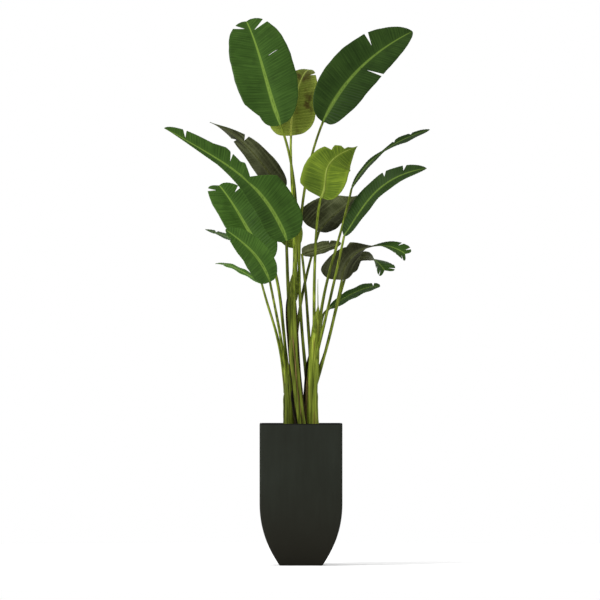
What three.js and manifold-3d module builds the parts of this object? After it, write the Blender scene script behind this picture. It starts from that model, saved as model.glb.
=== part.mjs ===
// An artificial travelers palm: three leaning stems in a square tapered planter,
// each carrying long stalks that end in broad, torn, paddle-shaped leaves.
// Lengths are millimetres, +Z is up and the front of the plant looks along -Y.
// The origin is the middle of the planter's underside.
import * as THREE from "three";
import { mergeVertices } from "three/addons/utils/BufferGeometryUtils.js";
import Module from "manifold-3d";

const wasm = await Module();
wasm.setup();

// Planter sizes
const POT_HEIGHT = 595;
const POT_HALF = 173.5;
const POT_FOOT_HALF = 90;
const POT_CURVE_HEIGHT = 265;
const POT_CURVE_POWER = 2.15;
const POT_WALL = 8;
const POT_FLOOR = 12;
const POT_CORNER = 12;
const POT_CORNER_STEPS = 3;
const POT_CURVE_STEPS = 8;

// Filling and gaps
const SOIL_LEVEL = 550;
const GAP = 0.3;

// Stems: the points that each one passes, and its girth
const STEM_SIDES = 12;
const STEM_STEPS = 12;
const FLARE_SHARE = 0.22;
const FLARE_REACH = 0.08;
const CROWN_START = 0.8;
const CROWN_SHARE = 0.6;
const stems = {
  left: {
    points: [[-50, 12, SOIL_LEVEL + GAP], [-51, 12, 680], [-59, 10, 790], [-73, 6, 900]],
    foot: 23,
    top: 17,
  },
  middle: {
    points: [[9, -30, SOIL_LEVEL + GAP], [-18, -32, 765], [-37, -24, 985], [-36, -6, 1220]],
    foot: 16,
    top: 24,
  },
  right: {
    points: [[46, 8, SOIL_LEVEL + GAP], [43, 8, 730], [56, 8, 912], [73, 6, 1090]],
    foot: 27,
    top: 19,
  },
};

// Stalks
const STALK_SIDES = 7;
const STALK_STEPS = 10;
const STALK_FOOT_RADIUS = 7.2;
const STALK_TOP_RADIUS = 5;
const STALK_FOOT_OFFSET = 0.6;
const STALK_TUCK = 0.95;

// Leaf blades
const BLADE_STATIONS = 13;
const BLADE_ACROSS = 4;
const BLADE_BASE_HALF = 6;
const BLADE_TIP_HALF = 3;
const BLADE_THICKNESS_SHARE = 0.0105;
const BLADE_RIB_RISE = 2;
const VEIN_SWEEP_BASE = 0.1;
const VEIN_SWEEP_TIP = 0.5;
const TEAR_CLEAR = 0.012;

// Leaves: the stem and the share of its length where the stalk starts, the way
// the stalk starts round the stem, two points that the stalk passes, four points
// that the midrib passes from base to tip, the way the upper face looks at base
// and tip (heading from the front, tilt upward), and the fold of the two halves.
// Each half has its greatest width, the place along the blade where it has it,
// and how fast it tapers. Tears have a side (-1 left, 1 right), a place along the
// blade, a depth toward the rib and a reach along the rib.
const leaves = {
  top_left: {
    stem: "middle", from: 0.86, round: 40,
    stalk: [[-18, 2, 1365], [-31, 14, 1617]],
    rib: [[-86, 30, 1848], [-134, 70, 1995], [-178, 130, 2150], [-230, 205, 2288]],
    faces: [[5, 15], [0, 30]], fold: 10,
    left: [134, 0.42, 0.66], right: [131, 0.42, 0.66],
    tears: [[1, 0.88, 0.8, 0.02], [-1, 0.91, 0.7, 0.02], [-1, 0.1, 0.22, 0.1]],
  },
  top_right: {
    stem: "right", from: 0.34, round: -90,
    stalk: [[-5, 26, 1134], [6, 34, 1512]],
    rib: [[92, 40, 1861], [168, 80, 1993], [288, 140, 2125], [470, 220, 2246]],
    faces: [[5, 22], [0, 42]], fold: 14,
    left: [114, 0.4, 0.8], right: [106, 0.36, 0.8],
    tears: [[-1, 0.66, 0.6, 0.014], [1, 0.5, 0.75, 0.012]],
  },
  top_back: {
    stem: "middle", from: 0.92, round: 170,
    stalk: [[-28, 34, 1344], [-38, 72, 1596]],
    rib: [[-42, 110, 1804], [-34, 140, 1915], [-4, 195, 2030], [34, 270, 2086]],
    faces: [[0, 20], [0, 70]], fold: 10,
    left: [94, 0.14, 1], right: [100, 0.2, 0.9],
    tears: [[1, 0.8, 0.5, 0.02]],
  },
  upper_left: {
    stem: "middle", from: 0.68, round: -130,
    stalk: [[-56, 10, 1190], [-62, 36, 1365]],
    rib: [[-71, 60, 1575], [-140, 20, 1655], [-240, -20, 1770], [-382, -60, 1858]],
    faces: [[185, 30], [150, 50]], fold: 14,
    left: [56, 0.25, 1.8], right: [54, 0.25, 1.3],
    tears: [[-1, 0.62, 0.7, 0.02], [1, 0.67, 0.6, 0.02]],
  },
  left_long: {
    stem: "middle", from: 0.6, round: -40,
    stalk: [[-50, -44, 1113], [-56, -60, 1239]],
    rib: [[-59, -70, 1361], [-172, -120, 1556], [-332, -175, 1690], [-571, -230, 1831]],
    faces: [[0, 15], [30, 42]], fold: 14,
    left: [72, 0.15, 1.6], right: [111, 0.15, 0.74],
    tears: [
      [1, 0.42, 0.78, 0.12], [1, 0.5, 0.5, 0.2], [1, 0.68, 0.35, 0.3], [-1, 0.62, 0.35, 0.3],
      [1, 0.56, 0.75, 0.015], [1, 0.86, 0.8, 0.014],
    ],
  },
  left_middle: {
    stem: "left", from: 0.72, round: 40,
    stalk: [[-76, 0, 1008], [-99, -14, 1184]],
    rib: [[-136, -30, 1268], [-202, -10, 1372], [-268, 30, 1486], [-344, 100, 1595]],
    faces: [[-5, 15], [0, 45]], fold: 12,
    left: [84, 0.6, 0.35], right: [98, 0.3, 0.6],
    tears: [[-1, 0.92, 0.6, 0.02], [1, 0.8, 0.5, 0.02]],
  },
  left_front: {
    stem: "left", from: 0.62, round: -20,
    stalk: [[-84, -30, 945], [-105, -80, 1063]],
    rib: [[-130, -120, 1189], [-168, -165, 1268], [-227, -215, 1336], [-315, -270, 1407]],
    faces: [[0, 25], [0, 35]], fold: 20,
    left: [82, 0.4, 0.8], right: [62, 0.36, 0.8],
    tears: [[-1, 0.86, 0.4, 0.015]],
  },
  left_back: {
    stem: "left", from: 0.8, round: 150,
    stalk: [[-74, 30, 1000], [-92, 52, 1155]],
    rib: [[-122, 70, 1273], [-193, 110, 1323], [-298, 165, 1373], [-403, 230, 1411]],
    faces: [[0, 85], [0, 80]], fold: 8,
    left: [40, 0.4, 0.8], right: [40, 0.4, 0.8],
    tears: [[1, 0.85, 0.8, 0.02], [-1, 0.78, 0.8, 0.02]],
  },
  left_low: {
    stem: "left", from: 0.5, round: -100,
    stalk: [[-90, 2, 915], [-122, 0, 1037]],
    rib: [[-164, -10, 1180], [-223, 40, 1218], [-294, 100, 1254], [-361, 170, 1266]],
    faces: [[0, 84], [-20, 75]], fold: 8,
    left: [24, 0.4, 0.8], right: [24, 0.4, 0.8],
    tears: [[-1, 0.75, 0.7, 0.02]],
  },
  right_upright: {
    stem: "right", from: 0.8, round: -30,
    stalk: [[55, -46, 1092], [61, -88, 1344]],
    rib: [[84, -130, 1541], [101, -150, 1617], [124, -145, 1690], [236, -110, 1756]],
    faces: [[180, 5], [180, 35]], fold: 8,
    left: [98, 0.4, 1.2], right: [106, 0.1, 2],
    tears: [[1, 0.62, 0.35, 0.05], [1, 0.8, 0.45, 0.05]],
  },
  right_dark: {
    stem: "middle", from: 0.5, round: 150,
    stalk: [[-10, 44, 1040], [22, 110, 1210]],
    rib: [[76, 190, 1402], [125, 150, 1457], [178, 105, 1502], [233, 60, 1552]],
    faces: [[180, 45], [180, 50]], fold: 6,
    left: [58, 0.25, 0.8], right: [128, 0.15, 1.5],
    tears: [[-1, 0.8, 0.5, 0.02]],
  },
  right_high: {
    stem: "right", from: 0.72, round: 90,
    stalk: [[101, 8, 1155], [151, 18, 1344]],
    rib: [[212, 30, 1579], [296, 60, 1697], [410, 100, 1778], [542, 150, 1831]],
    faces: [[-58, 32], [-27, 40]], fold: 12,
    left: [23, 0.6, 0.7], right: [37, 0.5, 0.8],
    tears: [
      [-1, 0.48, 0.7, 0.2], [1, 0.48, 0.75, 0.2], [-1, 0.62, 0.6, 0.02], [-1, 0.8, 0.5, 0.02],
    ],
  },
  right_middle: {
    stem: "right", from: 0.6, round: 50,
    stalk: [[103, -24, 1037], [147, -44, 1226]],
    rib: [[181, -60, 1382], [256, -100, 1495], [357, -150, 1600], [525, -200, 1663]],
    faces: [[-30, 37], [-20, 40]], fold: 14,
    left: [60, 0.36, 0.8], right: [52, 0.42, 0.8],
    tears: [[-1, 0.6, 0.4, 0.015], [-1, 0.78, 0.6, 0.016]],
  },
  middle_dark: {
    stem: "right", from: 0.6, round: -110,
    stalk: [[30, 30, 1010], [20, 62, 1150]],
    rib: [[4, 95, 1307], [58, 92, 1322], [112, 86, 1338], [168, 78, 1352]],
    faces: [[180, 45], [180, 45]], fold: 6,
    left: [32, 0.3, 0.7], right: [40, 0.12, 0.7],
    tears: [[1, 0.7, 0.4, 0.02]],
  },
  right_drooping: {
    stem: "right", from: 0.36, round: 80,
    stalk: [[101, 30, 890], [137, 58, 1037]],
    rib: [[172, 76, 1197], [222, 56, 1301], [326, 12, 1341], [437, -30, 1306]],
    faces: [[190, 10], [0, 40]], fold: 20,
    left: [56, 0.2, 0.3], right: [98, 0.08, 0.35],
    tears: [
      [1, 0.3, 0.5, 0.25], [1, 0.57, 0.88, 0.4], [-1, 0.54, 0.88, 0.36],
      [1, 0.83, 0.7, 0.016], [-1, 0.84, 0.7, 0.016], [1, 0.93, 0.7, 0.014], [-1, 0.94, 0.7, 0.014],
    ],
  },
  right_hanging: {
    stem: "right", from: 0.43, round: 150,
    stalk: [[101, 66, 890], [139, 122, 1037]],
    rib: [[196, 180, 1236], [236, 190, 1280], [290, 182, 1290], [352, 150, 1238]],
    faces: [[190, 10], [0, 60]], fold: 8,
    left: [64, 0.5, 0.35], right: [66, 0.5, 0.35],
    tears: [
      [1, 0.34, 0.6, 0.32], [-1, 0.34, 0.75, 0.32],
      [1, 0.77, 0.7, 0.018], [-1, 0.79, 0.7, 0.018], [1, 0.9, 0.7, 0.016], [-1, 0.91, 0.7, 0.016],
    ],
  },
  right_low: {
    stem: "right", from: 0.6, round: 150,
    stalk: [[80, 70, 987], [92, 116, 1046]],
    rib: [[118, 160, 1075], [181, 200, 1120], [254, 240, 1156], [334, 280, 1172]],
    faces: [[-20, 45], [-20, 45]], fold: 12,
    left: [27, 0.7, 0.5], right: [38, 0.45, 0.8],
    tears: [[-1, 0.88, 0.8, 0.02]],
  },
  middle_back: {
    stem: "middle", from: 0.84, round: 110,
    stalk: [[-17, 48, 1160], [-21, 94, 1245]],
    rib: [[-29, 130, 1331], [-50, 170, 1399], [-84, 220, 1470], [-122, 280, 1533]],
    faces: [[0, 15], [0, 25]], fold: 10,
    left: [60, 0.4, 0.8], right: [60, 0.4, 0.8],
    tears: [[1, 0.7, 0.4, 0.02]],
  },
};

// Young rolled leaf
const SPEAR = {
  points: [[68, 18, 960], [71, 12, 1050], [71, 8, 1120], [71, 6, 1201]],
  foot: 4.5,
  top: 1.2,
};

// Finishes
const finish = (colour, roughness) => new THREE.MeshStandardMaterial({ color: colour, roughness });
const finishes = {
  planter: finish(0x2b2c26, 0.5),
  filling: finish(0x3a3320, 0.95),
  stem: finish(0x63702a, 0.6),
  stalk: finish(0x6a7a2e, 0.55),
  mature: finish(0x3b5727, 0.5),
  fresh: finish(0x6e812d, 0.5),
};
const FRESH = ["top_back", "right_upright", "middle_back"];

// Three.js geometry to and from a solid
const solidOf = (geometry) => {
  const bare = geometry.clone();
  bare.deleteAttribute("normal");
  bare.deleteAttribute("uv");
  const merged = mergeVertices(bare, 1e-4);
  const vertProperties = new Float32Array(merged.attributes.position.array);
  const triVerts = new Uint32Array(merged.index.array);
  return new wasm.Manifold(new wasm.Mesh({ numProp: 3, vertProperties, triVerts }));
};

const geometryOf = (solid) => {
  const mesh = solid.getMesh();
  const geometry = new THREE.BufferGeometry();
  geometry.setAttribute("position", new THREE.BufferAttribute(mesh.vertProperties, 3));
  geometry.setIndex(new THREE.BufferAttribute(mesh.triVerts, 1));
  geometry.computeVertexNormals();
  return geometry;
};

const largestOf = (solid) => {
  const bodies = solid.decompose();
  bodies.sort((one, other) => other.volume() - one.volume());
  return bodies[0];
};

// Moves every vertex of a standard geometry to its place on the finished shape
const reshape = (geometry, place) => {
  const positions = geometry.attributes.position;
  const vertex = new THREE.Vector3();
  for (let index = 0; index < positions.count; index += 1) {
    vertex.fromBufferAttribute(positions, index);
    const moved = place(vertex);
    positions.setXYZ(index, moved.x, moved.y, moved.z);
  }
  return geometry;
};

const vectorOf = ([x, y, z]) => new THREE.Vector3(x, y, z);
const mix = THREE.MathUtils.lerp;
const radians = THREE.MathUtils.degToRad;

// A cubic curve that passes four points at equal shares of its run
const curveThrough = (points) => {
  const [start, third, twoThirds, end] = points.map(vectorOf);
  const first = new THREE.Vector3()
    .addScaledVector(start, -5 / 6)
    .addScaledVector(third, 3)
    .addScaledVector(twoThirds, -1.5)
    .addScaledVector(end, 1 / 3);
  const second = new THREE.Vector3()
    .addScaledVector(start, 1 / 3)
    .addScaledVector(third, -1.5)
    .addScaledVector(twoThirds, 3)
    .addScaledVector(end, -5 / 6);
  return new THREE.CubicBezierCurve3(start, first, second, end);
};

// A round limb along a curve, its radius following its share of the run
const limb = (curve, radiusAt, sides, steps, levelFoot) => {
  const frames = curve.computeFrenetFrames(steps);
  const rod = new THREE.CylinderGeometry(1, 1, 1, sides, steps);
  return reshape(rod, (vertex) => {
    const step = Math.round((vertex.y + 0.5) * steps);
    const share = step / steps;
    const radius = radiusAt(share);
    const normal = frames.normals[step].clone();
    const binormal = frames.binormals[step].clone();
    if (levelFoot && step === 0) {
      normal.setZ(0).normalize();
      binormal.setZ(0).normalize();
    }
    return curve.getPointAt(share)
      .addScaledVector(normal, -vertex.x * radius)
      .addScaledVector(binormal, vertex.z * radius);
  });
};

// The planter's half width at a height
const potHalf = (height) => {
  const left = Math.max(0, 1 - height / POT_CURVE_HEIGHT);
  return POT_HALF - (POT_HALF - POT_FOOT_HALF) * left ** POT_CURVE_POWER;
};

// A square column with rounded corners that follows the planter's side
const potColumn = (bottom, top, inset) => {
  const outline = new THREE.Shape();
  const flat = POT_HALF - POT_CORNER;
  const quarter = Math.PI / 2;
  outline.absarc(flat, flat, POT_CORNER, 0, quarter);
  outline.absarc(-flat, flat, POT_CORNER, quarter, 2 * quarter);
  outline.absarc(-flat, -flat, POT_CORNER, 2 * quarter, 3 * quarter);
  outline.absarc(flat, -flat, POT_CORNER, 3 * quarter, 4 * quarter);
  const steps = POT_CURVE_STEPS + 1;
  const column = new THREE.ExtrudeGeometry(outline, {
    depth: steps,
    steps,
    curveSegments: POT_CORNER_STEPS,
    bevelEnabled: false,
  });
  return reshape(column, (vertex) => {
    const step = Math.round(vertex.z);
    const bend = mix(bottom, POT_CURVE_HEIGHT, step / POT_CURVE_STEPS);
    const height = step === steps ? top : bend;
    const scale = (potHalf(height) - inset) / POT_HALF;
    return new THREE.Vector3(vertex.x * scale, vertex.y * scale, height);
  });
};

const potOuter = solidOf(potColumn(0, POT_HEIGHT, 0));
const potInner = solidOf(potColumn(POT_FLOOR, POT_HEIGHT + 1, POT_WALL));
const planterSolid = potOuter.subtract(potInner);
const fillingSolid = solidOf(potColumn(POT_FLOOR + GAP, SOIL_LEVEL, POT_WALL + GAP));

// Stems
const stemRadius = (stem, share) => {
  const flare = 1 + FLARE_SHARE * Math.exp(-share / FLARE_REACH);
  const crown = 1 - CROWN_SHARE * THREE.MathUtils.smoothstep(share, CROWN_START, 1);
  return mix(stem.foot, stem.top, share) * flare * crown;
};

const stemLimb = (stem, extra) => {
  const radiusAt = (share) => stemRadius(stem, share) + extra;
  return limb(curveThrough(stem.points), radiusAt, STEM_SIDES, STEM_STEPS, true);
};

// A leaf's upper face direction, from heading and tilt
const facing = ([heading, tilt]) => new THREE.Vector3(
  Math.sin(radians(heading)) * Math.cos(radians(tilt)),
  -Math.cos(radians(heading)) * Math.cos(radians(tilt)),
  Math.sin(radians(tilt)),
);

// Half width of an untorn side of a blade
const sideProfile = ([half, broadest, taper], share) => {
  if (share < broadest) {
    const away = 1 - share / broadest;
    return half * Math.sqrt(1 - away ** 2.6);
  }
  const away = (share - broadest) / (1 - broadest);
  return half * (1 - away ** 2.3) ** taper;
};

// Stations along a blade, close together at its ends and at each tear
const bladeStations = (leaf) => {
  const even = Array.from({ length: BLADE_STATIONS }, (_, index) => {
    const turn = Math.PI * index / (BLADE_STATIONS - 1);
    return 0.5 - 0.5 * Math.cos(turn);
  });
  const torn = leaf.tears.flatMap(([, place, , reach]) => [place - reach, place, place + reach]);
  const clear = even.filter((share) => torn.every((place) => Math.abs(share - place) > TEAR_CLEAR));
  const all = [...new Set([...clear, ...torn])];
  return all.sort((one, other) => one - other);
};

// Half width left by the tears on one side
const halfWidth = (leaf, share, side) => {
  const least = mix(BLADE_BASE_HALF, BLADE_TIP_HALF, share);
  const whole = Math.max(sideProfile(side < 0 ? leaf.left : leaf.right, share), least);
  const kept = leaf.tears
    .filter(([tornSide]) => tornSide === side)
    .map(([, place, depth, reach]) => 1 - depth * Math.max(0, 1 - Math.abs(share - place) / reach));
  return whole * Math.min(1, ...kept);
};

// A blade: two folded halves with a ridge along the midrib
const blade = (leaf) => {
  const curve = curveThrough(leaf.rib);
  const stations = bladeStations(leaf);
  const thickness = curve.getLength() * BLADE_THICKNESS_SHARE;
  const [faceBase, faceTip] = leaf.faces.map(facing);
  const fold = radians(leaf.fold);
  const sheet = new THREE.BoxGeometry(1, 1, 1, stations.length - 1, BLADE_ACROSS, 1);
  return reshape(sheet, (vertex) => {
    const share = stations[Math.round((vertex.x + 0.5) * (stations.length - 1))];
    const across = -vertex.y * 2;
    const side = Math.sign(across);
    const along = curve.getTangentAt(share);
    const up = faceBase.clone().lerp(faceTip, share);
    up.addScaledVector(along, -up.dot(along)).normalize();
    const right = new THREE.Vector3().crossVectors(along, up);
    const reach = Math.abs(across) * halfWidth(leaf, share, side);
    const sweep = mix(VEIN_SWEEP_BASE, VEIN_SWEEP_TIP, share);
    const rise = reach * Math.sin(fold);
    const half = thickness / 2 + (side === 0 ? BLADE_RIB_RISE / 2 : 0);
    const skin = up.clone().multiplyScalar(Math.cos(fold)).addScaledVector(right, -side * Math.sin(fold));
    return curve.getPointAt(share)
      .addScaledVector(right, side * reach * Math.cos(fold))
      .addScaledVector(up, rise)
      .addScaledVector(along, reach * sweep)
      .addScaledVector(skin, Math.sign(vertex.z) * half);
  });
};

// A stalk: leaves its stem, passes its two points and stops just short of its blade
const stalkCurve = (leaf) => {
  const stem = stems[leaf.stem];
  const heading = radians(leaf.round);
  const away = new THREE.Vector3(Math.sin(heading), -Math.cos(heading), 0);
  const start = curveThrough(stem.points).getPointAt(leaf.from)
    .addScaledVector(away, stemRadius(stem, leaf.from) * STALK_FOOT_OFFSET);
  const rib = curveThrough(leaf.rib);
  const ribStart = rib.getTangentAt(0);
  const runTo = (end) => curveThrough([start.toArray(), ...leaf.stalk, end.toArray()]);
  const tilt = runTo(rib.getPointAt(0)).getTangentAt(1).angleTo(ribStart);
  const back = GAP + STALK_TUCK * STALK_TOP_RADIUS * Math.sin(tilt);
  return runTo(rib.getPointAt(0).addScaledVector(ribStart, -back));
};

const stalkLimb = (leaf, extra) => {
  const radiusAt = (share) => mix(STALK_FOOT_RADIUS, STALK_TOP_RADIUS, share) + extra;
  return limb(stalkCurve(leaf), radiusAt, STALK_SIDES, STALK_STEPS, false);
};

// Assembly
const plant = new THREE.Group();
plant.name = "travelers_palm";

const addPart = (name, solid, material) => {
  const part = new THREE.Mesh(geometryOf(solid), material);
  part.name = name;
  plant.add(part);
};

addPart("planter", planterSolid, finishes.planter);
addPart("planter_filling", fillingSolid, finishes.filling);

const clearance = {};
for (const [name, stem] of Object.entries(stems)) {
  addPart(`stem_${name}`, solidOf(stemLimb(stem, 0)), finishes.stem);
  clearance[name] = solidOf(stemLimb(stem, GAP));
}

for (const [name, leaf] of Object.entries(leaves)) {
  const stalk = largestOf(solidOf(stalkLimb(leaf, 0)).subtract(clearance[leaf.stem]));
  const material = FRESH.includes(name) ? finishes.fresh : finishes.mature;
  addPart(`stalk_${name}`, stalk, finishes.stalk);
  addPart(`leaf_${name}`, solidOf(blade(leaf)), material);
}

const spearRadius = (share) => mix(SPEAR.foot, SPEAR.top, share);
const spear = solidOf(limb(curveThrough(SPEAR.points), spearRadius, STALK_SIDES, STALK_STEPS, false));
addPart("young_leaf_spear", largestOf(spear.subtract(clearance.right)), finishes.fresh);

export default plant;
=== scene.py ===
"""Looks of an artificial travelers palm that stands in a square tapered planter."""
import logging
import math
from dataclasses import dataclass
from enum import Enum, IntEnum
from functools import cached_property

import bpy
import numpy as np
from mathutils import Color, Matrix, Vector


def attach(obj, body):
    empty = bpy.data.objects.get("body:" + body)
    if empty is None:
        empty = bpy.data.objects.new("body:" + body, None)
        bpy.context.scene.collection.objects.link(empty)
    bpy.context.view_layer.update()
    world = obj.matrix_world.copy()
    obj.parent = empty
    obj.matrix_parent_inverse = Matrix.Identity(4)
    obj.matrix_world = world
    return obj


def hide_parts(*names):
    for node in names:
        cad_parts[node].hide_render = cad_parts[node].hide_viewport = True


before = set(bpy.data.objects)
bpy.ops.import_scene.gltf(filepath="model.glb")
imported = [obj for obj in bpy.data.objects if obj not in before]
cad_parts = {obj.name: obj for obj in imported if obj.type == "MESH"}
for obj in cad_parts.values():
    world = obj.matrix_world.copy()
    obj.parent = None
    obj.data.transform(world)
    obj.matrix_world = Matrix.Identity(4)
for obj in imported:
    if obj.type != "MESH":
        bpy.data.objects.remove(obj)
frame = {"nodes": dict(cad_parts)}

Pair = tuple[float, float]
Point = tuple[float, float, float]
Colour = tuple[float, float, float, float]
FourPoints = tuple[Point, Point, Point, Point]
Faces = list[tuple[int, ...]]
Edges = list[tuple[int, int]]
Cells = list[tuple[int, int]]
Values = float | np.ndarray
Socket = bpy.types.NodeSocket
Inputs = dict[int | str, object]
Coat = tuple[Socket, Colour]
Material = bpy.types.Material
Piece = bpy.types.Object

MM = 0.001
BODY = "root"
FRONT = np.array([0.0, -1.0, 0.0])
VEIN_SPACE = 12.5 * MM
BYTE = 255
SHINE = 0.06
MIDTONES: Pair = (0.3, 0.7)
# Sockets of a colour mix node, by number
MIX_SHARE, MIX_FIRST, MIX_SECOND, MIX_RESULT = 0, 6, 7, 2
# What turns the four points that a run passes into the two controls between its ends
INNER_CONTROLS = np.array([[-5, 18, -9, 2], [2, -9, 18, -5]]) / 6
LOG = logging.getLogger("travelers_palm")


class Slot(Enum):
    """The record's material slots."""

    PLANTER = "planter"
    FILLING = "filling"
    STEM = "stem"
    STALK = "stalk"
    MATURE = "mature_leaf"
    FRESH = "fresh_leaf"


class StemName(Enum):
    """The stems that share the planter."""

    LEFT = "left"
    MIDDLE = "middle"
    RIGHT = "right"


class Look(Enum):
    """How old a leaf looks."""

    MATURE = "mature"
    FRESH = "fresh"
    FADED = "faded"

    def slot(self) -> Slot:
        """The record's slot for such a leaf."""
        return Slot.MATURE if self is Look.MATURE else Slot.FRESH


class Skin(IntEnum):
    """The material slots of a blade."""

    UPPER = 0
    UNDER = 1
    RIB = 2
    UNDER_RIB = 3


class Layer(Enum):
    """What a piece's points carry: metres along and across a leaf, shares of its size, and brightness."""

    PLACE = "leaf_place"
    SHARE = "leaf_share"
    TONE = "tone"


class Sum(Enum):
    """Sums that a material works out."""

    PLUS = "ADD"
    TIMES = "MULTIPLY"
    OVER = "DIVIDE"
    MOST = "MAXIMUM"
    SIZE = "ABSOLUTE"
    SINE = "SINE"


@dataclass(frozen=True)
class Wave:
    """A sine that keeps a form from being too even."""

    size: float
    pace: float
    follow: float = 1.0

    def at(self, places: np.ndarray, shift: Values) -> np.ndarray:
        """Its height at places, with its start moved by a shift."""
        return self.size * np.sin(self.pace * places + self.follow * shift)


@dataclass(frozen=True)
class Grain:
    """A noise: how close its lumps are along each axis, and how many finer layers it has."""

    scale: Point
    detail: float


def tint(red: float, green: float, blue: float) -> Colour:
    """Turns a display colour, from 0 to 255, into the linear colour that shaders take."""
    linear = Color((red / BYTE, green / BYTE, blue / BYTE)).from_srgb_to_scene_linear()
    return (*linear, 1.0)


def mix(first: Values, second: Values, share: Values) -> Values:
    """Values from first to second at the given shares."""
    return first + (second - first) * share


def ease(values: np.ndarray, start: float, end: float) -> np.ndarray:
    """How far values have come from start to end, from nought to one."""
    return np.clip((values - start) / (end - start), 0.0, 1.0)


def unit(vectors: np.ndarray) -> np.ndarray:
    """The same directions with a length of one."""
    return vectors / np.linalg.norm(vectors, axis=-1, keepdims=True)


def circle(sides: int) -> np.ndarray:
    """Even angles all the way round."""
    return np.linspace(0.0, math.tau, sides, endpoint=False)


def by_side(across: np.ndarray, left: Values, right: Values) -> np.ndarray:
    """The left value where across is below nought, and the right one elsewhere."""
    return np.where(across < 0, left, right)


def gaps(points: np.ndarray) -> np.ndarray:
    """Distances from each point to the next."""
    return np.linalg.norm(np.diff(points, axis=0), axis=1)


def weights(steps: np.ndarray, degree: int) -> np.ndarray:
    """How much each control of a curve of that degree counts at each step."""
    terms = (math.comb(degree, n) * (1 - steps) ** (degree - n) * steps ** n for n in range(degree + 1))
    return np.stack(list(terms), axis=1)


def paired(first: Values, second: Values) -> np.ndarray:
    """Puts two sets of values side by side as pairs."""
    return np.stack(np.broadcast_arrays(first, second), axis=-1)


def put(name: str, data: bpy.types.ID) -> Piece:
    """Adds an object to the scene.

    Args:
        name: The object's name.
        data: Its mesh, light or camera.

    Returns:
        The new object.
    """
    made = bpy.data.objects.new(name, data)
    bpy.context.scene.collection.objects.link(made)
    return made


def turn_to(made: Piece, aim: Vector) -> None:
    """Turns a light or camera so that it looks at a place."""
    made.rotation_euler = (aim - made.location).to_track_quat("-Z", "Y").to_euler()


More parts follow.
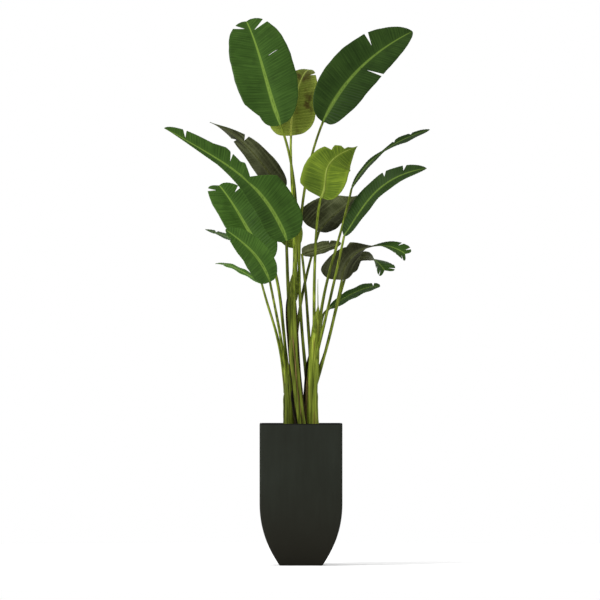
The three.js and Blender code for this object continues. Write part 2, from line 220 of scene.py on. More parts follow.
class Graph:
    """A new material with short calls that add and join its nodes."""

    def __init__(self, name: str) -> None:
        """Starts a material whose surface is one principled shader.

        Args:
            name: The material's name.
        """
        self.material = bpy.data.materials.new(name)
        self.material.use_nodes = True
        self.tree = self.material.node_tree
        self.tree.nodes.clear()
        self.shader = self.add("ShaderNodeBsdfPrincipled")
        self.add("ShaderNodeOutputMaterial", {"Surface": self.shader.outputs["BSDF"]})

    def add(self, kind: str, inputs: Inputs | None = None, **settings: str) -> bpy.types.Node:
        """Adds a node.

        Args:
            kind: The kind of node.
            inputs: A socket or a plain value for each input that is set.
            settings: The node's own settings.

        Returns:
            The new node.
        """
        node = self.tree.nodes.new(kind)
        for name, value in settings.items():
            setattr(node, name, value)
        for name, source in (inputs or {}).items():
            self.feed(source, node.inputs[name])
        return node

    def feed(self, source: object, target: Socket) -> None:
        """Joins a socket to an input, or sets the input to a plain value.

        Args:
            source: A socket, a number or a colour.
            target: The input that takes it.
        """
        if isinstance(source, Socket):
            self.tree.links.new(source, target)
        else:
            target.default_value = source

    def local(self) -> Socket:
        """Coordinates in the object's own frame, in metres."""
        return self.add("ShaderNodeTexCoord").outputs["Object"]

    def layer(self, layer: Layer) -> Socket:
        """What the piece's points carry in one layer."""
        return self.add("ShaderNodeAttribute", attribute_name=layer.value).outputs["Vector"]

    def parts(self, source: Socket) -> tuple[Socket, ...]:
        """The three numbers of a vector."""
        return tuple(self.add("ShaderNodeSeparateXYZ", {0: source}).outputs)

    def noise(self, source: Socket, grain: Grain) -> Socket:
        """Soft noise.

        Args:
            source: The coordinates that it lies over.
            grain: Its size and detail.

        Returns:
            A number from nought to one.
        """
        scaled = self.add("ShaderNodeMapping", {"Vector": source, "Scale": grain.scale}).outputs["Vector"]
        inputs = {"Vector": scaled, "Scale": 1.0, "Detail": grain.detail}
        return self.add("ShaderNodeTexNoise", inputs).outputs["Fac"]

    def sum(self, kind: Sum, first: object, second: object = 0.0) -> Socket:
        """Works out one number from two, each a socket or a plain number."""
        return self.add("ShaderNodeMath", {0: first, 1: second}, operation=kind.value).outputs[0]

    def weigh(self, first: Socket, second: Socket, share: float) -> Socket:
        """Adds two numbers, of which the first counts by its share and the second by the rest."""
        rest = self.sum(Sum.TIMES, second, 1 - share)
        return self.sum(Sum.PLUS, self.sum(Sum.TIMES, first, share), rest)

    def span(self, source: Socket, low: float, high: float, start: float, end: float) -> Socket:
        """Moves smoothly from start to end while the source goes from low to high."""
        inputs = {"Value": source, "From Min": low, "From Max": high, "To Min": start, "To Max": end}
        return self.add("ShaderNodeMapRange", inputs, interpolation_type="SMOOTHSTEP").outputs["Result"]

    def ramp(self, source: Socket, places: tuple[float, ...], colours: tuple[Colour, ...]) -> Socket:
        """Colours along a number.

        Args:
            source: The number that picks the colour.
            places: Where each colour is, from nought to one.
            colours: The colours.

        Returns:
            The colour.
        """
        node = self.add("ShaderNodeValToRGB", {"Fac": source})
        elements = node.color_ramp.elements
        while len(elements) < len(places):
            elements.new(places[0])
        for element, place, colour in zip(elements, places, colours):
            element.position = place
            element.color = colour
        return node.outputs["Color"]

    def blend(self, share: float | Socket, first: Socket, second: Colour | Socket,
              kind: str = "MIX") -> Socket:
        """Mixes two colours by the share of the second."""
        inputs = {MIX_SHARE: share, MIX_FIRST: first, MIX_SECOND: second}
        return self.add("ShaderNodeMix", inputs, data_type="RGBA", blend_type=kind).outputs[MIX_RESULT]

    def paint(self, colour: Socket, coats: list[Coat]) -> Socket:
        """Lays coats of colour over a colour.

        Args:
            colour: The colour under them.
            coats: How much each coat covers, and its colour, from the lowest to the highest.

        Returns:
            The colour that shows.
        """
        for share, coat in coats:
            colour = self.blend(share, colour, coat)
        return colour

    def tone(self, colour: Socket) -> Socket:
        """Makes a colour as bright as the piece's own tone asks."""
        return self.blend(1.0, colour, self.layer(Layer.TONE), "MULTIPLY")

    def dress(self, colour: Socket, rough: float | Socket, shine: float) -> None:
        """Sets the shader's colour, roughness and shine."""
        for name, value in (("Base Color", colour), ("Roughness", rough), ("Specular IOR Level", shine)):
            self.feed(value, self.shader.inputs[name])

    def bump(self, height: Socket, strength: float, distance: float) -> None:
        """Raises the surface by a height from nought to one, as deep as the distance in metres."""
        node = self.add("ShaderNodeBump", {"Height": height, "Strength": strength, "Distance": distance})
        self.feed(node.outputs["Normal"], self.shader.inputs["Normal"])


@dataclass(frozen=True)
class LeafFinish:
    """Printed cloth with cross veins, fine streaks, a paler band along the rib, darker blotches, painted
    shade and sheen.
    """

    name: str
    deep: Colour
    face: Colour
    light: Colour
    band: Colour
    band_reach: Pair
    rough: Pair
    # Colour of the darker blotches and of the painted shade toward the leaf's base.
    blotch_and_shade: Colour
    blotch_share: float
    base_shade: float
    sheen_share: float = 0.0
    vein_share: float = 0.24
    streak_share: float = 0.6
    edge_start: float = 0.965
    edge_share: float = 0.45
    stops: Point = (0.34, 0.5, 0.68)
    streaks: Grain = Grain((300.0, 10.0, 1.0), 4.0)
    clouds: Grain = Grain((7.0, 7.0, 7.0), 2.0)
    sheen_lines: Grain = Grain((5.0, 110.0, 1.0), 3.0)
    spots: Grain = Grain((16.0, 16.0, 16.0), 4.0)
    vein_start: float = 0.2
    sheen_span: Pair = (0.48, 0.66)
    spot_span: Pair = (0.5, 0.68)
    shade_end: float = 0.7
    band_share: float = 0.1
    band_span: Pair = (0.6, 1.3)
    glow_span: Pair = (1.0, 5.0)
    glow_share: float = 0.28
    vein_height: float = 0.55
    relief: Pair = (0.45, 0.7 * MM)

    def material(self) -> Material:
        """Builds the material.

        Returns:
            The new material.
        """
        graph = Graph(self.name)
        place = graph.layer(Layer.PLACE)
        along, across, _ = graph.parts(place)
        share, side, _ = graph.parts(graph.layer(Layer.SHARE))
        out = graph.sum(Sum.SIZE, side)
        streak = graph.noise(place, self.streaks)
        mottle = graph.weigh(streak, graph.noise(graph.local(), self.clouds), self.streak_share)
        wave = graph.sum(Sum.SINE, graph.sum(Sum.TIMES, along, math.tau / VEIN_SPACE))
        vein = graph.span(wave, self.vein_start, 1.0, 0.0, 1.0)
        reach = graph.span(share, 0.0, 1.0, *self.band_reach)
        metres = graph.sum(Sum.OVER, graph.sum(Sum.SIZE, across), reach)
        off = graph.sum(Sum.MOST, metres, graph.sum(Sum.TIMES, out, 1 / self.band_share))
        coats = [(graph.sum(Sum.TIMES, vein, self.vein_share), self.light)]
        # Painted sheen: long lighter lines along the blade, which only the grey underside uses.
        if self.sheen_share:
            sheen_lines = graph.noise(place, self.sheen_lines)
            coats.append((graph.span(sheen_lines, *self.sheen_span, 0.0, self.sheen_share), self.light))
        spots = graph.noise(graph.local(), self.spots)
        coats.append((graph.span(spots, *self.spot_span, 0.0, self.blotch_share), self.blotch_and_shade))
        # Painted shade: the colour darkens toward the leaf's base, deep in the crown.
        if self.base_shade:
            coats.append((graph.span(share, 0.0, self.shade_end, self.base_shade, 0.0), self.blotch_and_shade))
        coats += [
            (graph.span(off, *self.glow_span, self.glow_share, 0.0), self.light),
            (graph.span(off, *self.band_span, 1.0, 0.0), self.band),
            (graph.span(out, self.edge_start, 1.0, 0.0, self.edge_share), self.light),
        ]
        colour = graph.paint(graph.ramp(mottle, self.stops, (self.deep, self.face, self.light)), coats)
        graph.dress(graph.tone(colour), graph.span(mottle, *MIDTONES, *self.rough), SHINE)
        graph.bump(graph.weigh(vein, streak, self.vein_height), *self.relief)
        return graph.material


@dataclass(frozen=True)
class StalkFinish:
    """Moulded stalk with long streaks and darker, drier patches."""

    name: str
    deep: Colour
    face: Colour
    light: Colour
    dry: Colour
    dry_share: float
    rough: Pair
    stops: Point = (0.36, 0.5, 0.66)
    streaks: Grain = Grain((150.0, 150.0, 5.0), 4.0)
    patches: Grain = Grain((60.0, 60.0, 6.0), 3.0)
    streak_share: float = 0.65
    dry_span: Pair = (0.56, 0.72)
    relief: Pair = (0.4, 1.2 * MM)

    def material(self) -> Material:
        """Builds the material.

        Returns:
            The new material.
        """
        graph = Graph(self.name)
        patch = graph.noise(graph.local(), self.patches)
        mottle = graph.weigh(graph.noise(graph.local(), self.streaks), patch, self.streak_share)
        colour = graph.ramp(mottle, self.stops, (self.deep, self.face, self.light))
        colour = graph.blend(graph.span(patch, *self.dry_span, 0.0, self.dry_share), colour, self.dry)
        graph.dress(graph.tone(colour), graph.span(mottle, *MIDTONES, *self.rough), SHINE)
        graph.bump(mottle, *self.relief)
        return graph.material


@dataclass(frozen=True)
class PlanterFinish:
    """Dark satin composite, a little warmer toward its foot and darker along its rim."""

    name: str
    foot: Colour
    face: Colour
    light: Colour
    rim: Colour
    rough: Pair
    stops: Pair = (0.35, 0.7)
    clouds: Grain = Grain((5.0, 5.0, 5.0), 4.0)
    pores: Grain = Grain((420.0, 420.0, 420.0), 2.0)
    brush: Grain = Grain((60.0, 60.0, 6.0), 3.0)
    cloud_share: float = 0.6
    foot_span: Pair = (0.0, 0.4)
    foot_share: float = 0.85
    rim_span: Pair = (0.588, 0.592)
    rim_share: float = 0.8
    pore_height: float = 0.5
    relief: Pair = (0.12, 0.8 * MM)

    def material(self) -> Material:
        """Builds the material.

        Returns:
            The new material.
        """
        graph = Graph(self.name)
        local = graph.local()
        _, _, height = graph.parts(local)
        cloud = graph.noise(local, self.clouds)
        mottle = graph.weigh(cloud, graph.noise(local, self.brush), self.cloud_share)
        colour = graph.paint(graph.ramp(mottle, self.stops, (self.face, self.light)), [
            (graph.span(height, *self.foot_span, self.foot_share, 0.0), self.foot),
            (graph.span(height, *self.rim_span, 0.0, self.rim_share), self.rim),
        ])
        graph.dress(colour, graph.span(mottle, *MIDTONES, *self.rough), SHINE)
        graph.bump(graph.weigh(graph.noise(local, self.pores), cloud, self.pore_height), *self.relief)
        return graph.material


@dataclass(frozen=True)
class EarthFinish:
    """Crumbly dark top dressing."""

    name: str
    deep: Colour
    face: Colour
    light: Colour
    lumps: Grain
    crumbs: Grain
    rough: Pair = (0.98, 0.82)
    stops: Point = (0.36, 0.5, 0.68)
    lump_share: float = 0.6
    relief: Pair = (0.8, 3.0 * MM)

    def material(self) -> Material:
        """Builds the material.

        Returns:
            The new material.
        """
        graph = Graph(self.name)
        local = graph.local()
        lumps, crumbs = (graph.noise(local, grain) for grain in (self.lumps, self.crumbs))
        mottle = graph.weigh(lumps, crumbs, self.lump_share)
        colour = graph.ramp(mottle, self.stops, (self.deep, self.face, self.light))
        graph.dress(colour, graph.span(mottle, *MIDTONES, *self.rough), SHINE)
        graph.bump(mottle, *self.relief)
        return graph.material


@dataclass(frozen=True)
class LeafSet:
    """The finishes of one leaf: both faces, and the rib above and below."""

    upper: LeafFinish
    under: LeafFinish
    rib: StalkFinish
    under_rib: StalkFinish

    def materials(self) -> list[Material]:
        """Builds the leaf's material slots in order."""
        return [finish.material() for finish in (self.upper, self.under, self.rib, self.under_rib)]


GREEN = LeafSet(
    LeafFinish(
        "leaf_green", tint(29, 49, 11), tint(39, 63, 18), tint(56, 82, 29), tint(90, 114, 44),
        (9.5 * MM, 3 * MM), (0.4, 0.54), tint(25, 42, 10), 0.3, 0.15),
    # The underside's long lighter grey lines are painted sheen, and its darker base is painted shade.
    LeafFinish(
        "leaf_underside_grey_sheen", tint(30, 32, 14), tint(52, 57, 31), tint(94, 99, 68), tint(68, 74, 38),
        (5 * MM, 2 * MM), (0.44, 0.58), tint(26, 26, 11), 0.45, 0.6,
        sheen_share=0.6, vein_share=0.06, streak_share=0.25),
    StalkFinish(
        "leaf_rib", tint(63, 85, 29), tint(86, 110, 40), tint(108, 130, 56), tint(73, 89, 32),
        0.4, (0.53, 0.39)),
    StalkFinish(
        "leaf_under_rib", tint(44, 47, 22), tint(60, 64, 32), tint(80, 84, 46), tint(40, 40, 20),
        0.4, (0.58, 0.44)),
)
YOUNG = LeafSet(
    LeafFinish(
        "young_leaf_green", tint(50, 69, 14), tint(71, 91, 24), tint(108, 127, 34), tint(110, 124, 46),
        (5 * MM, 2 * MM), (0.42, 0.56), tint(52, 70, 14), 0.4, 0.0,
        vein_share=0.15, edge_start=0.72, edge_share=0.6),
    LeafFinish(
        "young_leaf_underside", tint(55, 74, 15), tint(77, 97, 26), tint(114, 133, 38), tint(116, 130, 50),
        (4.5 * MM, 2 * MM), (0.44, 0.58), tint(56, 75, 15), 0.4, 0.0,
        vein_share=0.15, edge_start=0.72, edge_share=0.6),
    StalkFinish(
        "young_leaf_rib", tint(88, 104, 36), tint(108, 124, 46), tint(126, 140, 62), tint(92, 104, 36),
        0.3, (0.53, 0.39)),
    StalkFinish(
        "young_leaf_under_rib", tint(92, 106, 38), tint(112, 126, 50), tint(130, 144, 68), tint(96, 106, 40),
        0.3, (0.53, 0.39)),
)
FADED = LeafSet(
    LeafFinish(
        "faded_leaf", tint(66, 76, 22), tint(83, 95, 31), tint(108, 118, 48), tint(118, 128, 60),
        (5 * MM, 2 * MM), (0.46, 0.6), tint(50, 40, 14), 0.85, 0.0),
    LeafFinish(
        "faded_leaf_underside", tint(62, 66, 18), tint(76, 82, 26), tint(94, 98, 38), tint(110, 116, 52),
        (5 * MM, 2 * MM), (0.48, 0.62), tint(54, 44, 14), 0.8, 0.0),
    StalkFinish(
        "faded_leaf_rib", tint(94, 100, 36), tint(114, 120, 50), tint(132, 138, 66), tint(80, 76, 32),
        0.4, (0.58, 0.44)),
    StalkFinish(
        "faded_leaf_under_rib", tint(88, 94, 34), tint(106, 112, 46), tint(124, 130, 62), tint(76, 72, 30),
        0.4, (0.58, 0.44)),
)
STALK = StalkFinish(
    "stalk_olive", tint(46, 54, 10), tint(86, 100, 26), tint(126, 138, 52), tint(40, 38, 13),
    0.8, (0.56, 0.42))
SHEATH = StalkFinish(
    "sheath_green", tint(48, 55, 12), tint(79, 90, 25), tint(110, 121, 42), tint(68, 58, 24),
    0.7, (0.58, 0.44))
DRY_SHEATH = StalkFinish(
    "sheath_dry", tint(20, 15, 7), tint(46, 37, 17), tint(84, 70, 40), tint(22, 16, 8),
    0.6, (0.83, 0.69))
CHARCOAL = PlanterFinish(
    "planter_charcoal", tint(24, 22, 15), tint(26, 28, 22), tint(32, 35, 29), tint(12, 12, 10),
    (0.45, 0.57))
EARTH = EarthFinish(
    "filling_earth", tint(22, 17, 10), tint(44, 35, 22), tint(72, 60, 40),
    Grain((60.0, 60.0, 60.0), 6.0), Grain((360.0, 360.0, 360.0), 3.0))
BARK = EarthFinish(
    "filling_bark", tint(40, 28, 16), tint(78, 56, 34), tint(118, 90, 60),
    Grain((90.0, 90.0, 90.0), 6.0), Grain((540.0, 540.0, 540.0), 3.0))


@dataclass(frozen=True)
class Finishes:
    """Every material of the plant, made once."""

    leaves: dict[Look, list[Material]]
    stalk: Material
    sheath: Material
    dry: Material
    planter: Material
    earth: Material
    bark: Material

    @classmethod
    def make(cls) -> "Finishes":
        """Builds every material.

        Returns:
            The plant's finishes.
        """
        leaves = {look: kind.materials() for look, kind in zip(Look, (GREEN, YOUNG, FADED))}
        others = (STALK, SHEATH, DRY_SHEATH, CHARCOAL, EARTH, BARK)
        return cls(leaves, *(kind.material() for kind in others))


def grid(rows: int, columns: int, closed: bool) -> Faces:
    """Faces of a sheet of points, row after row.

    Args:
        rows: The number of rows.
        columns: The number of points in a row.
        closed: Whether the last column joins the first.

    Returns:
        Four-cornered faces.
    """
    faces = []
    for row in range(0, (rows - 1) * columns, columns):
        for column in range(columns if closed else columns - 1):
            after = (column + 1) % columns
            faces.append((row + column, row + after, row + columns + after, row + columns + column))
    return faces


def flipped(faces: Faces) -> Faces:
    """The same faces, looking the other way."""
    return [face[::-1] for face in faces]


def ends(rings: int, sides: int) -> Faces:
    """The two faces that close a tube of rings at its foot and its top."""
    foot = range(sides)
    return [tuple(foot)[::-1], tuple(corner + (rings - 1) * sides for corner in foot)]


def border(rows: int, columns: int) -> Edges:
    """Edges round a sheet of points.

    Args:
        rows: The number of rows.
        columns: The number of points in a row.

    Returns:
        Pairs of points, each in the order that turns a rim outward.
    """
    last = (rows - 1) * columns
    edges = []
    for row in range(0, last, columns):
        edges += [(row, row + columns), (row + 2 * columns - 1, row + columns - 1)]
    for column in range(columns - 1):
        edges += [(column + 1, column), (last + column, last + column + 1)]
    return edges


class Draft:
    """Points and faces gathered for one piece before they become a mesh."""

    def __init__(self) -> None:
        """Starts empty."""
        self.points: list[np.ndarray] = []
        self.places: list[np.ndarray] = []
        self.shares: list[np.ndarray] = []
        self.tones: list[np.ndarray] = []
        self.faces: Faces = []
        self.slots: list[int] = []
        self.smooth: list[bool] = []
        self.count = 0

    def add(self, points: np.ndarray, faces: Faces, slot: int, smooth: bool = True,
            place: np.ndarray | None = None, share: np.ndarray | None = None,
            tone: Values = 1.0) -> int:
        """Adds points and the faces between them.

        Args:
            points: Positions in metres.
            faces: Faces that count from the first of these points.
            slot: The material slot of the faces.
            smooth: Whether the faces shade smoothly.
            place: Distances along and across a leaf.
            share: Shares of a leaf's length and half width.
            tone: How bright the colours are, for all points or one by one.

        Returns:
            The number of the first point.
        """
        first = self.count
        rows = points.reshape(-1, 3)
        flat = np.zeros((len(rows), 2))
        self.points.append(rows)
        self.places.append(flat if place is None else place.reshape(-1, 2))
        self.shares.append(flat if share is None else share.reshape(-1, 2))
        self.tones.append(np.broadcast_to(np.ravel(tone), len(rows)))
        self.count += len(rows)
        self.cover(faces, slot, smooth, first)
        return first

    def cover(self, faces: Faces, slot: int, smooth: bool, first: int) -> None:
        """Adds faces between points that are already there.

        Args:
            faces: Faces that count from the first point.
            slot: Their material slot.
            smooth: Whether they shade smoothly.
            first: The number of that first point.
        """
        self.faces.extend(tuple(first + corner for corner in face) for face in faces)
        self.slots.extend([slot] * len(faces))
        self.smooth.extend([smooth] * len(faces))

    def tube(self, body: np.ndarray, slot: int, tone: Values = 1.0) -> None:
        """Adds a tube with flat ends.

        Args:
            body: Points, ring by ring from the foot.
            slot: The tube's material slot.
            tone: How bright the colours are, for all points or one by one.
        """
        rings, sides = body.shape[:2]
        first = self.add(body, grid(rings, sides, True), slot, tone=tone)
        self.cover(ends(rings, sides), slot, False, first)

    def join(self, first: int, second: int, edges: Edges, slot: int) -> None:
        """Closes the gap between two sheets along their edges.

        Args:
            first: The number of the outer sheet's first point.
            second: The number of the inner sheet's first point.
            edges: Pairs of points, each in the order that turns the rim outward.
            slot: The rim's material slot.
        """
        deep = second - first
        self.cover([(one, two, two + deep, one + deep) for one, two in edges], slot, False, first)

    def piece(self, name: str, materials: list[Material], tone: float = 1.0) -> Piece:
        """Turns the draft into an object that rides with the plant.

        Args:
            name: The object's name.
            materials: Its material slots.
            tone: How bright its colours are.

        Returns:
            The new object.
        """
        mesh = bpy.data.meshes.new(name)
        mesh.from_pydata(np.concatenate(self.points).tolist(), [], self.faces)
        for material in materials:
            mesh.materials.append(material)
        mesh.polygons.foreach_set("material_index", self.slots)
        mesh.polygons.foreach_set("use_smooth", self.smooth)
        for layer, rows in ((Layer.PLACE, self.places), (Layer.SHARE, self.shares)):
            carried = mesh.attributes.new(layer.value, "FLOAT_VECTOR", "POINT")
            carried.data.foreach_set("vector", np.pad(np.concatenate(rows), ((0, 0), (0, 1))).ravel())
        bright = mesh.attributes.new(Layer.TONE.value, "FLOAT", "POINT")
        bright.data.foreach_set("value", tone * np.concatenate(self.tones))
        mesh.update()
        made = put(name, mesh)
        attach(made, BODY)
        return made


def around(spots: np.ndarray, ways: np.ndarray, front: np.ndarray, angles: np.ndarray,
           girth: np.ndarray) -> np.ndarray:
    """Points round a run.

    Args:
        spots: Places along the run.
        ways: Unit directions of the run there.
        front: The direction that angles are counted from.
        angles: Angles round the run, for all places or row by row.
        girth: Distances from the run, row by row.

    Returns:
        Positions by row and angle.
    """
    ahead = unit(front - (ways @ front)[:, None] * ways)
    beside = np.cross(ways, ahead)
    facing = np.cos(angles)[..., None] * ahead[:, None] + np.sin(angles)[..., None] * beside[:, None]
    return spots[:, None] + girth[..., None] * facing


@dataclass(frozen=True)
class Run:
    """A cubic curve that passes four points, in millimetres, at equal shares of its run."""

    points: FourPoints
    samples: int = 401
    chords: int = 101

    def at(self, shares: np.ndarray) -> tuple[np.ndarray, np.ndarray]:
        """Places and directions at shares of the length.

        Args:
            shares: Shares from nought to one.

        Returns:
            Positions in metres and unit directions.
        """
        passed = np.array(self.points) * MM
        controls = np.stack([passed[0], *(INNER_CONTROLS @ passed), passed[-1]])
        steps = np.linspace(0.0, 1.0, self.samples)
        run = np.concatenate([[0.0], np.cumsum(gaps(weights(steps, 3) @ controls))])
        turns = np.interp(shares * run[-1], run, steps)
        return weights(turns, 3) @ controls, unit(weights(turns, 2) @ np.diff(controls, axis=0))

    def length(self) -> float:
        """Length of the curve in metres."""
        spots, _ = self.at(np.linspace(0.0, 1.0, self.chords))
        return float(gaps(spots).sum())

    def ring(self, shares: np.ndarray, angles: np.ndarray, girth: np.ndarray) -> np.ndarray:
        """Points round the curve, at angles that are counted from its front."""
        spots, ways = self.at(shares)
        return around(spots, ways, FRONT, angles, girth)


@dataclass(frozen=True)
class Strip:
    """A leaf sheath on a stem, broad at the filling and narrow where its stalk leaves.

    Its top is a share of the stem's length, its turn is in degrees, its half widths are in radians, and its
    lift, crown and thickness are in millimetres.
    """

    top: float
    turn: float
    foot_wide: float
    top_wide: float
    tone: float = 1.0
    dry: bool = False
    lift: float = 0.3
    rows: int = 48
    columns: int = 17
    taper: float = 0.8
    tip_length: float = 0.05
    tip_least: float = 0.25
    sway: Wave = Wave(0.06, 9.0)
    crown: float = 4.2
    foot_crown: float = 0.6
    fine_groove: Wave = Wave(0.25, 11.0)
    long_groove: Wave = Wave(0.35, 17.0, 2.0)
    sink_start: float = 0.75
    layer_lift: float = 0.45
    seat: float = 0.93
    thickness: float = 1.2
    layer_thickness: float = 0.4
    # middle_tone, edge_shade and inner_tone paint shade on the sheath's edges and inner face.
    middle_tone: float = 1.18
    edge_shade: float = 0.85
    inner_tone: float = 0.6

    def build(self, draft: Draft, stem: "Stem", layer: int) -> None:
        """Adds the sheath to its stem.

        Args:
            draft: The stem's draft.
            stem: The stem that it wraps.
            layer: How many sheaths lie under it.
        """
        shares = np.linspace(0.0, self.top, self.rows)
        level = (shares / self.top)[:, None]
        across = np.linspace(-1.0, 1.0, self.columns)
        tip = np.sqrt(np.clip((1 - level) / self.tip_length, self.tip_least, 1.0))
        spread = mix(self.foot_wide, self.top_wide, level ** self.taper) * tip
        angles = math.radians(self.turn) + spread * across + self.sway.at(level, layer)
        crown = self.crown * (1 - across ** 2) * mix(self.foot_crown, 1.0, level)
        grooves = self.fine_groove.at(across, layer) + self.long_groove.at(level, layer)
        sink = ease(level, self.sink_start, 1.0) ** 2
        lift = (self.lift + self.layer_lift * layer + crown + grooves) * (1 - sink) - sink
        outer = stem.radius(shares)[:, None] * self.seat + lift * MM
        inner = outer - (self.thickness + self.layer_thickness * layer) * MM
        # Painted shade: each sheath darkens toward its edges, where the sheaths overlap, and its inner face
        # is darker still.
        painted_edge_shade = self.middle_tone - self.edge_shade * np.abs(across) ** 3
        tone = np.tile(stem.tone * self.tone * painted_edge_shade, self.rows)
        sheet = grid(self.rows, self.columns, False)
        run = Run(stem.points)
        slot = int(self.dry)
        first = draft.add(run.ring(shares, angles, outer), sheet, slot, tone=tone)
        shaded = tone * self.inner_tone
        second = draft.add(run.ring(shares, angles, inner), flipped(sheet), slot, tone=shaded)
        draft.join(first, second, border(self.rows, self.columns), slot)


@dataclass(frozen=True)
class Stem:
    """A leaning stem of overlapping leaf sheaths, in millimetres and shares of its length."""

    name: StemName
    points: FourPoints
    foot: float
    top: float
    husks: tuple[Strip, ...]
    tone: float = 1.0
    flare_share: float = 0.22
    flare_reach: float = 0.08
    crown_start: float = 0.8
    crown_share: float = 0.6
    core_share: float = 0.9
    core_ribs: tuple[Wave, Wave] = (Wave(0.05, 5.0, 3.0), Wave(0.03, 11.0, -4.0))
    core_tip: tuple[float, ...] = (0.9, 0.75, 0.5, 0.2)
    # core_tones and core_shade paint shade on the core toward its foot.
    core_tones: Pair = (0.25, 1.2)
    core_shade: Pair = (0.25, 0.65)
    sides: int = 36
    steps: int = 70

    def radius(self, shares: np.ndarray) -> np.ndarray:
        """Radius at shares of the length.

        Args:
            shares: Shares from nought to one.

        Returns:
            Radii in metres.
        """
        flare = 1 + self.flare_share * np.exp(-shares / self.flare_reach)
        past = ease(shares, self.crown_start, 1.0)
        crown = 1 - self.crown_share * past ** 2 * (3 - 2 * past)
        return mix(self.foot, self.top, shares) * flare * crown * MM

    def build(self, finishes: Finishes, leaves: list["Leaf"]) -> Piece:
        """Builds the stem's core, a sheath for each of its leaves and the husks outside them, dry ones and
        one of painted shade.

        Args:
            finishes: The plant's finishes.
            leaves: The leaves that this stem bears.

        Returns:
            The stem's piece.
        """
        shares = np.linspace(0.0, 1.0, self.steps)
        angles = circle(self.sides)
        ribs = 1 + sum(wave.at(angles, shares[:, None]) for wave in self.core_ribs)
        girth = self.core_share * self.radius(shares)[:, None] * ribs
        girth[-len(self.core_tip):] *= np.array(self.core_tip)[:, None]
        # Painted shade: the core is darker toward its foot, deep among the sheaths.
        shade = self.tone * mix(*self.core_tones, ease(shares, *self.core_shade))
        draft = Draft()
        draft.tube(Run(self.points).ring(shares, angles, girth), 0, np.repeat(shade, self.sides))
        strips = [leaf.sheath(self) for leaf in sorted(leaves, key=lambda leaf: -leaf.start)]
        for layer, strip in enumerate((*strips, *self.husks)):
            strip.build(draft, self, layer)
        made = draft.piece(f"{self.name.value}_stem", [finishes.sheath, finishes.dry])
        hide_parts(f"stem_{self.name.value}")
        return made


@dataclass(frozen=True)
class Tear:
    """A tear in a blade: its side, place along the blade, depth and reach along the rib."""

    side: int
    place: float
    depth: float
    reach: float


@dataclass(frozen=True)
class Slit:
    """A split that doesn't reach the margin, with its ends as shares of the half width."""

    side: int
    place: float
    inner: float
    outer: float
    reach: float = 0.004
    pinch: float = 0.8

    def row(self, shares: np.ndarray) -> int:
        """The last station before the split."""
        return int(np.searchsorted(shares, self.place)) - 1


@dataclass(frozen=True)
class Half:
    """One half of a blade: its greatest width in millimetres, where that is, and how fast it tapers."""

    width: float
    broadest: float
    taper: float
    base_power: float = 2.6
    tip_power: float = 2.3

    def profile(self, shares: np.ndarray) -> np.ndarray:
        """Widths of the untorn half.

        Args:
            shares: Stations along the blade.

        Returns:
            Widths in millimetres.
        """
        before = 1 - ease(shares, 0.0, self.broadest)
        after = ease(shares, self.broadest, 1.0)
        base = np.sqrt(1 - before ** self.base_power)
        tip = (1 - after ** self.tip_power) ** self.taper
        return self.width * np.where(shares < self.broadest, base, tip)


@dataclass(frozen=True)
class Leaf:
    """What sets one leaf apart, in millimetres, degrees and shares."""

    name: str
    stem: StemName
    start: float
    turn: float
    stalk: tuple[Point, Point]
    rib: FourPoints
    faces: tuple[Pair, Pair]
    fold: float
    left: Half
    right: Half
    tears: tuple[Tear, ...]
    slits: tuple[Slit, ...] = ()
    look: Look = Look.MATURE
    # Partly the leaf's own colour, partly painted light and shade: tones brighten shaded leaves and stalks,
    # and darken a shaded half.
    tone: float = 1.0
    tip_tone: float = 1.0
    half_tones: Pair = (1.0, 1.0)
    rib_evenness: float = 0.6
    stalk_tone: float = 1.0
    lobes: Pair = (12.0, 12.0)
    sweep_base: float = 0.1
    sweep_tip: float = 0.5
    sheath_wide: float = 0.85
    sheath_top: float = 11.0
    sheath_tones: Pair = (0.82, 1.27)
    sheath_shades: int = 11
    shade_step: int = 7

    def seed(self) -> int:
        """A number of the leaf's own, from its name."""
        return sum((place + 1) * ord(letter) for place, letter in enumerate(self.name))

    def rib_tone(self) -> float:
        """Brightness that brings the rib nearer to the other leaves' ribs than the blade is."""
        return self.tone ** -self.rib_evenness

    def sheath(self, stem: Stem) -> Strip:
        """The strip that the stalk's foot makes down its stem.

        Args:
            stem: The stem that bears the leaf.

        Returns:
            A strip that narrows to the stalk.
        """
        shade = self.seed() * self.shade_step % self.sheath_shades / (self.sheath_shades - 1)
        radius = stem.radius(np.array([self.start]))[0]
        top_wide = self.sheath_top * MM / radius
        return Strip(self.start, self.turn, self.sheath_wide, top_wide, mix(*self.sheath_tones, shade))

    def frame(self, shares: np.ndarray) -> tuple[np.ndarray, np.ndarray, np.ndarray, np.ndarray]:
        """The midrib and the directions round it.

        Args:
            shares: Stations along the blade.

        Returns:
            Places, and directions along, right and up, at each station.
        """
        spots, along = Run(self.rib).at(shares)
        looks = []
        for heading, tilt in self.faces:
            turn, rise = math.radians(heading), math.radians(tilt)
            flat = math.cos(rise)
            looks.append(np.array([math.sin(turn) * flat, -math.cos(turn) * flat, math.sin(rise)]))
        up = mix(*looks, shares[:, None])
        up = unit(up - (up * along).sum(axis=1, keepdims=True) * along)
        return spots, along, np.cross(along, up), up


